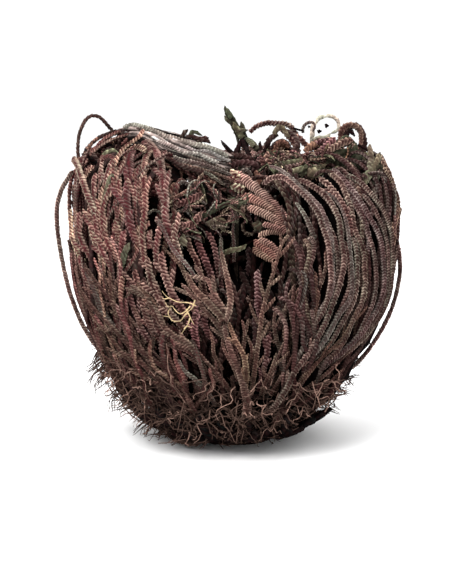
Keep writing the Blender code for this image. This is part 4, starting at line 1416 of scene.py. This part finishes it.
def leaving_root(rng, degrees, furthest):
    """A root that leaves the bowl's face in a straight line of its own and sways."""
    azimuth = math.radians(degrees + rng.uniform(-32, 32))
    up = 0.0025 + 0.025 * furthest * rng.random() ** 1.2
    out = bowl_radius(up) + rng.uniform(-0.0005, 0.0035)
    heading = unit(rng.normal(0, 0.6, 3) + polar(0.6, azimuth, -0.1))
    run = np.linspace(0, rng.uniform(0.004, 0.013), 9)[:, None]
    points = sway(rng, polar(out, azimuth, up) + heading * run, rng.uniform(0.0002, 0.0010))
    points[:, 2] = np.maximum(points[:, 2], 0.0008 + 0.5 * (up - 0.0025))
    return points[: kept_inside(points, rng.uniform(2, 12))]


def add_stock(patch, rng):
    """The crown itself: its profile turned round the plant's axis, with bumps by a sine
    round it times a sine up it."""
    turn = -np.linspace(0, math.tau, CROWN_COLUMNS, endpoint=False)
    bumps = 1 + 0.05 * np.sin(7 * turn) * np.sin(900 * CROWN_HEIGHT[:, None])
    bumps = bumps + rng.normal(0, 0.025, bumps.shape)
    rings = polar(CROWN_RADIUS[:, None] * bumps, turn, CROWN_HEIGHT[:, None])
    patch.add_tube(rings, np.full(bumps.shape, 0.5), np.array(CROWN_TINT))


def add_rim(patch, rng):
    """The dark underside of the crown where the photograph shows it, as straps."""
    for knots in CROWN_RIM:
        points, out = place_at_depth(knots)
        points[:, 2] = np.maximum(points[:, 2], 0.0013)
        # Near-black tint: painted shade under the crown
        add_strap(patch, rng, points, out, RIM_WIDTH, RIM_SHADE_TINT)


def add_stubs(patch, rng):
    """Old frond bases round the crown: dark strands that sway along the roots' line."""
    degrees, ends = zip(*ROOT_BUNDLES.values())
    for k in range(CROWN_STUBS):
        azimuth = math.tau * k / CROWN_STUBS + rng.normal(0, 0.03)
        end = np.interp(math.degrees(azimuth), degrees, ends, period=360)
        out, up = root_line(6 * np.linspace(0, end * rng.uniform(0.5, 0.95), 14))
        points = sway(rng, polar(out - 0.001, azimuth, up + rng.uniform(0.0, 0.0016)), 0.0008)
        points[:, 2] = np.maximum(points[:, 2], 0.0012)
        down = np.broadcast_to([0.0, 0.0, -1.0], points.shape)
        width = rng.uniform(0.0020, 0.0034)
        # The near-black dark look: the stubs' dark brown deepened as painted shade under the crown
        braid(patch, rng, points, down, width, "dark", 0.0016, tints(rng, "dark"), SIX_SIDES)


def make_material(name, groove, pale, roughness):
    """Scale leaves: painted shade in the groove under each leaf's free edge, the strand's own
    tint on the leaf, and pale on the edge, partly the dry edge's own colour and partly a
    painted highlight, with a fine mottle."""
    material = bpy.data.materials.new(name)
    material.use_nodes = True
    nodes, links = material.node_tree.nodes, material.node_tree.links
    shader = nodes["Principled BSDF"]
    shader.inputs["Roughness"].default_value = roughness
    shader.inputs["Specular IOR Level"].default_value = 0.0

    def attribute(title):
        node = nodes.new("ShaderNodeAttribute")
        node.attribute_name = title
        return node

    def mix(kind, factor, first, second):
        node = nodes.new("ShaderNodeMix")
        node.data_type = "RGBA"
        node.blend_type = kind
        for index, value in ((0, factor), (6, first), (7, second)):
            if isinstance(value, bpy.types.NodeSocket):
                links.new(value, node.inputs[index])
            else:
                node.inputs[index].default_value = value
        return node.outputs[2]

    def ranged(value, low, high, to_low, to_high):
        node = nodes.new("ShaderNodeMapRange")
        node.interpolation_type = "SMOOTHSTEP"
        links.new(value, node.inputs["Value"])
        for socket, number in zip(node.inputs[1:5], (low, high, to_low, to_high)):
            socket.default_value = number
        return node.outputs["Result"]

    def times(first, second):
        node = nodes.new("ShaderNodeMath")
        node.operation = "MULTIPLY"
        links.new(first, node.inputs[0])
        links.new(second, node.inputs[1])
        return node.outputs[0]

    tint = attribute("tint")
    margin = attribute("margin")
    # Painted shade: the groove colour where the margin is low
    depth = ranged(margin.outputs["Fac"], 0.10, 0.66, 1.0, 0.0)
    colour = mix("MIX", times(depth, tint.outputs["Alpha"]), tint.outputs["Color"], (*groove, 1))
    # Pale edge where the margin is high: partly the edge's own colour, partly painted highlight
    edge = ranged(margin.outputs["Fac"], 0.54, 0.96, 0.0, 1.0)
    bright = mix("MULTIPLY", 1.0, tint.outputs["Color"], (*pale, 1))
    colour = mix("MIX", times(edge, tint.outputs["Alpha"]), colour, bright)
    place = nodes.new("ShaderNodeTexCoord")
    noise = nodes.new("ShaderNodeTexNoise")
    noise.inputs["Scale"].default_value = 900.0
    noise.inputs["Detail"].default_value = 3.0
    links.new(place.outputs["Object"], noise.inputs["Vector"])
    mottle = ranged(noise.outputs["Fac"], 0.32, 0.68, 0.62, 1.25)
    colour = mix("MULTIPLY", 1.0, colour, mottle)
    links.new(colour, shader.inputs["Base Color"])
    return material


class RoseSettings(bpy.types.PropertyGroup):
    """Sizes and colours of the whole plant"""

    strand_width: FloatProperty(
        name="Strand width",
        description="Across a branchlet with its scale leaves",
        default=0.0018,
        unit="LENGTH",
    )
    leaf_pitch: FloatProperty(
        name="Leaf pitch",
        description="From one scale leaf's free edge to the next on the same side",
        default=0.00088,
        unit="LENGTH",
    )
    hair_radius: FloatProperty(
        name="Root radius",
        description="Half the thickness of a wiry root",
        default=0.00019,
        unit="LENGTH",
    )
    hairs: IntProperty(
        name="Roots in a bundle",
        description="Wiry roots in each of the bundles round the crown",
        default=165,
    )
    # Painted shade: the groove under each leaf's free edge
    groove_shade_colour: FloatVectorProperty(
        name="Groove colour",
        description="Under the free edges of the scale leaves",
        subtype="COLOR",
        default=(0.020, 0.0065, 0.0065),
    )
    # Painted shade over the maroon of the left lobe's leaves, in the grooves
    red_groove_shade_colour: FloatVectorProperty(
        name="Red groove colour",
        description="Under the free edges of the scale leaves where they are maroon",
        subtype="COLOR",
        default=(0.049, 0.0105, 0.0125),
    )
    # Partly the dry leaf edges' own pale colour, partly a painted highlight on each ridge
    pale_edge_highlight_share: FloatVectorProperty(
        name="Leaf edge brightness",
        description="Dry free edges of the scale leaves, over the leaf's own colour",
        default=(3.7, 4.15, 4.0),
    )


def slot_material(slot, red=False):
    """The material of a slot, made at its first use, with painted shade in its grooves, dark brown or
    maroon.
    """
    name = f"{slot}_red_scales" if red else f"{slot}_scales"
    if name not in bpy.data.materials:
        settings = bpy.context.scene.rose
        groove = settings.red_groove_shade_colour if red else settings.groove_shade_colour
        make_material(name, groove, settings.pale_edge_highlight_share, 0.78)
    return bpy.data.materials[name]


class ROSE_OT_crown(bpy.types.Operator):
    """Builds the woody stock under the plant, with the stubs of old fronds round it"""

    bl_idname = "rose.crown"
    bl_label = "Crown"

    def execute(self, context):
        rng = np.random.default_rng(11)
        patch = Patch()
        add_stock(patch, rng)
        add_rim(patch, rng)
        add_stubs(patch, rng)
        piece = patch.build("crown_stock", slot_material("crown"))
        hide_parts("crown")
        return {"FINISHED"}


class ROSE_OT_roots(bpy.types.Operator):
    """Builds the sprays of wiry roots round the crown"""

    bl_idname = "rose.roots"
    bl_label = "Roots"

    def execute(self, context):
        settings = context.scene.rose
        for name, (degrees, furthest) in ROOT_BUNDLES.items():
            rng = np.random.default_rng(degrees + 5)
            patch = Patch()
            if name == "left":
                add_spikes(patch, rng, settings.hair_radius)
            for _ in range(settings.hairs):
                points = spreading_root(rng, degrees, furthest)
                if len(points) > 4:
                    radius = settings.hair_radius * rng.uniform(0.8, 1.5)
                    add_hair(patch, points, radius, hair_tint(rng, 0.016, 0.095))
            for _ in range(settings.hairs):
                points = leaving_root(rng, degrees, furthest)
                if len(points) > 4:
                    radius = settings.hair_radius * rng.uniform(0.9, 1.45)
                    tint = hair_tint(rng, 0.03, rng.choice([0.10, 0.30]))
                    add_hair(patch, points, radius, tint)
            piece = patch.build(f"roots_{name}", slot_material("root"))
            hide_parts(f"root_bundle_{name}")
        return {"FINISHED"}


class ROSE_OT_fronds(bpy.types.Operator):
    """Builds every frond of the five whorls, strand by strand"""

    bl_idname = "rose.fronds"
    bl_label = "Fronds"

    def execute(self, context):
        settings = context.scene.rose
        slots = {"outer": "mauve_frond", "second": "mauve_frond", "third": "brown_frond"}
        for level, whorl in enumerate(WHORLS):
            slot = slots.get(whorl, "dark_frond")
            for number in range(1, WHORLS[whorl][0] + 1):
                if (whorl, number) in BARE:
                    continue
                rng = np.random.default_rng(100 * level + number)
                patch = Patch()
                style = style_of(whorl, number)
                add_frond(patch, frond_spine(whorl, number), rng, settings, level, style)
                material = slot_material(slot, red=style.look == "braid")
                piece = patch.build(f"{whorl}_braids_{number}", material)
                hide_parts(f"{whorl}_frond_{number}")
        return {"FINISHED"}


class ROSE_OT_branchlets(bpy.types.Operator):
    """Builds the branchlets that the photograph shows on the front of the bowl"""

    bl_idname = "rose.branchlets"
    bl_label = "Front branchlets"

    def execute(self, context):
        settings = context.scene.rose
        groups = (
            ("left_lobe_branchlets", LEFT_LOBE, "mauve_frond", 0.90),
            ("lower_left_branchlets", LOWER_LEFT, "mauve_frond", 0.76),
            ("centre_branchlets", CENTRE_LOW, "brown_stem", 1.0),
            ("right_arcs", RIGHT_ARCS, "mauve_frond", 1.0),
            ("olive_blades", OLIVE_BLADES, "olive_tip", 1.0),
        )
        for seed, (name, strands, slot, bright) in enumerate(groups):
            patch = Patch()
            add_strands(patch, np.random.default_rng(40 + seed), settings, strands, True, bright)
            piece = patch.build(name, slot_material(slot, name == "left_lobe_branchlets"))
        return {"FINISHED"}


class ROSE_OT_tangle(bpy.types.Operator):
    """Builds the twigs in the hollow, the woody band and the curls along the top"""

    bl_idname = "rose.tangle"
    bl_label = "Hollow and top"

    def execute(self, context):
        settings = context.scene.rose
        groups = (
            ("hollow_twigs", HOLLOW_TWIGS, "brown_stem"),
            ("woody_band", WOODY_BAND, "brown_frond"),
            ("top_curls", TOP_CURLS, "brown_frond"),
        )
        for seed, (name, strands, slot) in enumerate(groups):
            patch = Patch()
            rng = np.random.default_rng(60 + seed)
            add_strands(patch, rng, settings, strands, False)
            if name == "woody_band":
                add_bark(patch, rng, BARK_STRAPS)
            piece = patch.build(name, slot_material(slot))
        return {"FINISHED"}


class ROSE_OT_thicket(bpy.types.Operator):
    """Builds the dark branchlets that cross each other inside the hollow"""

    bl_idname = "rose.thicket"
    bl_label = "Thicket"

    def execute(self, context):
        settings = context.scene.rose
        rng = np.random.default_rng(21)
        patch = Patch()
        for _ in range(THICKET_BRANCHLETS):
            azimuth = math.radians(rng.uniform(215, 330))
            radius = rng.uniform(0.010, 0.036)
            start = polar(radius, azimuth, rng.uniform(0.016, 0.040))
            heading = unit(rng.normal(0, 0.55, 3) + [0, 0, 0.9])
            points = start + heading * np.linspace(0, rng.uniform(0.008, 0.016), 20)[:, None]
            points = sway(rng, points, rng.uniform(0.0005, 0.0020))
            inside = outside_bowl(points, 0.004) < 0
            points = points if inside.all() else points[: int(inside.argmin())]
            if len(points) < 8:
                continue
            out = np.broadcast_to([0.0, -1.0, 0.3], points.shape)
            look = THICKET_LOOKS[rng.integers(len(THICKET_LOOKS))]
            colours = tints(rng, look)
            # Dimmed to as little as 0.35: painted shade deep in the hollow
            colours[:, :3] *= rng.uniform(0.35, 1.0)
            width = rng.uniform(0.0011, 0.0019)
            braid(patch, rng, points, out, width, look, settings.leaf_pitch, colours, SIX_SIDES)
        piece = patch.build("hollow_thicket", slot_material("dark_frond"))
        return {"FINISHED"}


class ROSE_OT_tufts(bpy.types.Operator):
    """Builds the tufts of curled tips along the top of both lobes"""

    bl_idname = "rose.tufts"
    bl_label = "Curled tufts"

    def execute(self, context):
        settings = context.scene.rose
        for seed, (name, (low, high), number, looks) in enumerate(TUFTS):
            rng = np.random.default_rng(30 + seed)
            patch = Patch()
            for _ in range(number):
                azimuth = math.radians(rng.uniform(low, high))
                curl = rng.uniform(math.radians(35), math.radians(140))
                out = WIDEST_RADIUS - 0.002 - CURL_RADIUS * (1 - math.cos(curl))
                up = CURL_HEIGHT + LOBE_RISE * math.cos(2 * azimuth) + CURL_RADIUS * math.sin(curl)
                start = polar(out, azimuth, up - 0.003)
                heading = unit(polar(math.cos(curl), azimuth, 1.0))
                add_tuft(patch, rng, settings, start, heading, looks)
            piece = patch.build(name, slot_material("brown_frond"))
        return {"FINISHED"}


class ROSE_OT_frills(bpy.types.Operator):
    """Builds the small crumpled tips at the top right and in the hollow"""

    bl_idname = "rose.frills"
    bl_label = "Crumpled tips"

    def execute(self, context):
        settings = context.scene.rose
        for seed, (name, low, high, number, looks) in enumerate(FRILLS):
            rng = np.random.default_rng(50 + seed)
            patch = Patch()
            for _ in range(number):
                (start,), _ = at_depth(rng.uniform(low, high, (1, 3)))
                heading = unit(rng.normal(size=3) + [0, -0.6, 0.6])
                add_tuft(patch, rng, settings, start, heading, looks, size=0.62)
            piece = patch.build(name, slot_material("brown_frond"))
        return {"FINISHED"}


class ROSE_OT_stems(bpy.types.Operator):
    """Builds the stems, shoots, loops and rings that stand apart, and the fan frond"""

    bl_idname = "rose.stems"
    bl_label = "Stems"

    def execute(self, context):
        settings = context.scene.rose
        for seed, (node, path) in enumerate(STEM_PATHS.items()):
            rng = np.random.default_rng(80 + seed)
            patch = Patch()
            look, width = STEM_LOOKS[node]
            points = curve_through(np.array(path) / 1000, 0.0007)
            out = np.broadcast_to([0.0, -1.0, 0.15], points.shape)
            base = LOOKS["shade"][0] if node in STEM_SLOTS else None
            colours = tints(rng, look, base)
            pitch = settings.leaf_pitch
            braid(patch, rng, points, out, width / 1000, look, pitch, colours, taper=0.1)
            if node in STEM_STRANDS:
                add_strands(patch, rng, settings, STEM_STRANDS[node], False)
            slot = STEM_SLOTS.get(node, "brown_stem")
            piece = patch.build(f"{node}_scales", slot_material(slot, node == "fan_frond"))
            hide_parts(node)
        return {"FINISHED"}


class ROSE_OT_rootlets(bpy.types.Operator):
    """Builds the straw-coloured rootlets at the front, low on the left"""

    bl_idname = "rose.rootlets"
    bl_label = "Straw rootlets"

    def execute(self, context):
        rng = np.random.default_rng(7)
        patch = Patch()
        for pixels in ROOTLETS:
            points, _ = trace(pixels, -0.0022)
            tint = np.array([*LOOKS["straw"][0], 0.2]) * rng.uniform(0.8, 1.1)
            add_hair(patch, points, ROOTLET_RADIUS, tint)
        piece = patch.build("straw_rootlets", slot_material("root"))
        return {"FINISHED"}


def add_floor(scene):
    """A plain pale floor, just under the plant's foot."""
    mesh = bpy.data.meshes.new("floor")
    corners = [(x, y, FLOOR_HEIGHT) for x, y in ((-1, -1), (1, -1), (1, 1), (-1, 1))]
    mesh.from_pydata(np.array(corners) * [FLOOR_REACH, FLOOR_REACH, 1], [], [(0, 1, 2, 3)])
    floor = bpy.data.objects.new("floor", mesh)
    scene.collection.objects.link(floor)
    material = bpy.data.materials.new("pale_floor")
    material.use_nodes = True
    shader = material.node_tree.nodes["Principled BSDF"]
    shader.inputs["Base Color"].default_value = (0.92, 0.92, 0.92, 1)
    shader.inputs["Roughness"].default_value = 0.9
    mesh.materials.append(material)


def add_lights(scene):
    """Soft studio light: white all round, and the lamps, aimed at the plant's middle."""
    world = bpy.data.worlds.new("studio")
    world.use_nodes = True
    background = world.node_tree.nodes["Background"]
    background.inputs["Color"].default_value = (1, 1, 1, 1)
    background.inputs["Strength"].default_value = ROUND_LIGHT
    scene.world = world
    for name, (place, size, power) in LAMPS.items():
        light = bpy.data.lights.new(name, "AREA")
        light.size = size
        light.energy = power
        lamp = bpy.data.objects.new(name, light)
        lamp.location = place
        aim = Vector((0, 0, BALL_MIDDLE)) - Vector(place)
        lamp.rotation_mode = "QUATERNION"
        lamp.rotation_quaternion = aim.to_track_quat("-Z", "Y")
        scene.collection.objects.link(lamp)
    scene.view_settings.view_transform = "Standard"


def add_camera(scene):
    """The camera, level from side to side, at the photograph's viewing angle."""
    camera_data = bpy.data.cameras.new("camera")
    camera_data.lens = LENS
    camera_data.sensor_width = SENSOR
    camera_data.clip_start = 0.01
    camera_data.clip_end = 20
    camera = bpy.data.objects.new("camera", camera_data)
    _, camera.location = camera_axes()
    camera.rotation_euler = (math.pi / 2 - CAMERA_ELEVATION, 0, 0)
    scene.collection.objects.link(camera)
    scene.camera = camera


class ROSE_OT_stage(bpy.types.Operator):
    """Sets up the pale floor, the soft studio light and the camera"""

    bl_idname = "rose.stage"
    bl_label = "Stage"

    def execute(self, context):
        add_floor(context.scene)
        add_lights(context.scene)
        add_camera(context.scene)
        return {"FINISHED"}


class ROSE_PT_panel(bpy.types.Panel):
    """Lists the settings and the steps that build the plant"""

    bl_idname = "ROSE_PT_panel"
    bl_label = "Rose of Jericho"
    bl_space_type = "VIEW_3D"
    bl_region_type = "UI"
    bl_category = "Rose"

    def draw(self, context):
        settings = context.scene.rose
        for title in RoseSettings.__annotations__:
            self.layout.prop(settings, title)
        for step in STEPS:
            self.layout.operator(step.bl_idname)


STEPS = (
    ROSE_OT_crown,
    ROSE_OT_roots,
    ROSE_OT_fronds,
    ROSE_OT_branchlets,
    ROSE_OT_tangle,
    ROSE_OT_thicket,
    ROSE_OT_tufts,
    ROSE_OT_frills,
    ROSE_OT_stems,
    ROSE_OT_rootlets,
    ROSE_OT_stage,
)
CLASSES = (RoseSettings, *STEPS, ROSE_PT_panel)


def register():
    """Registers the settings, the operators and the panel."""
    for cls in CLASSES:
        bpy.utils.register_class(cls)
    bpy.types.Scene.rose = PointerProperty(type=RoseSettings)


def unregister():
    """Takes back what register did."""
    del bpy.types.Scene.rose
    for cls in reversed(CLASSES):
        bpy.utils.unregister_class(cls)


def main():
    """Builds the whole plant and its stage."""
    register()
    for step in STEPS:
        group, name = step.bl_idname.split(".")
        getattr(getattr(bpy.ops, group), name)()


if __name__ == "__main__":
    main()
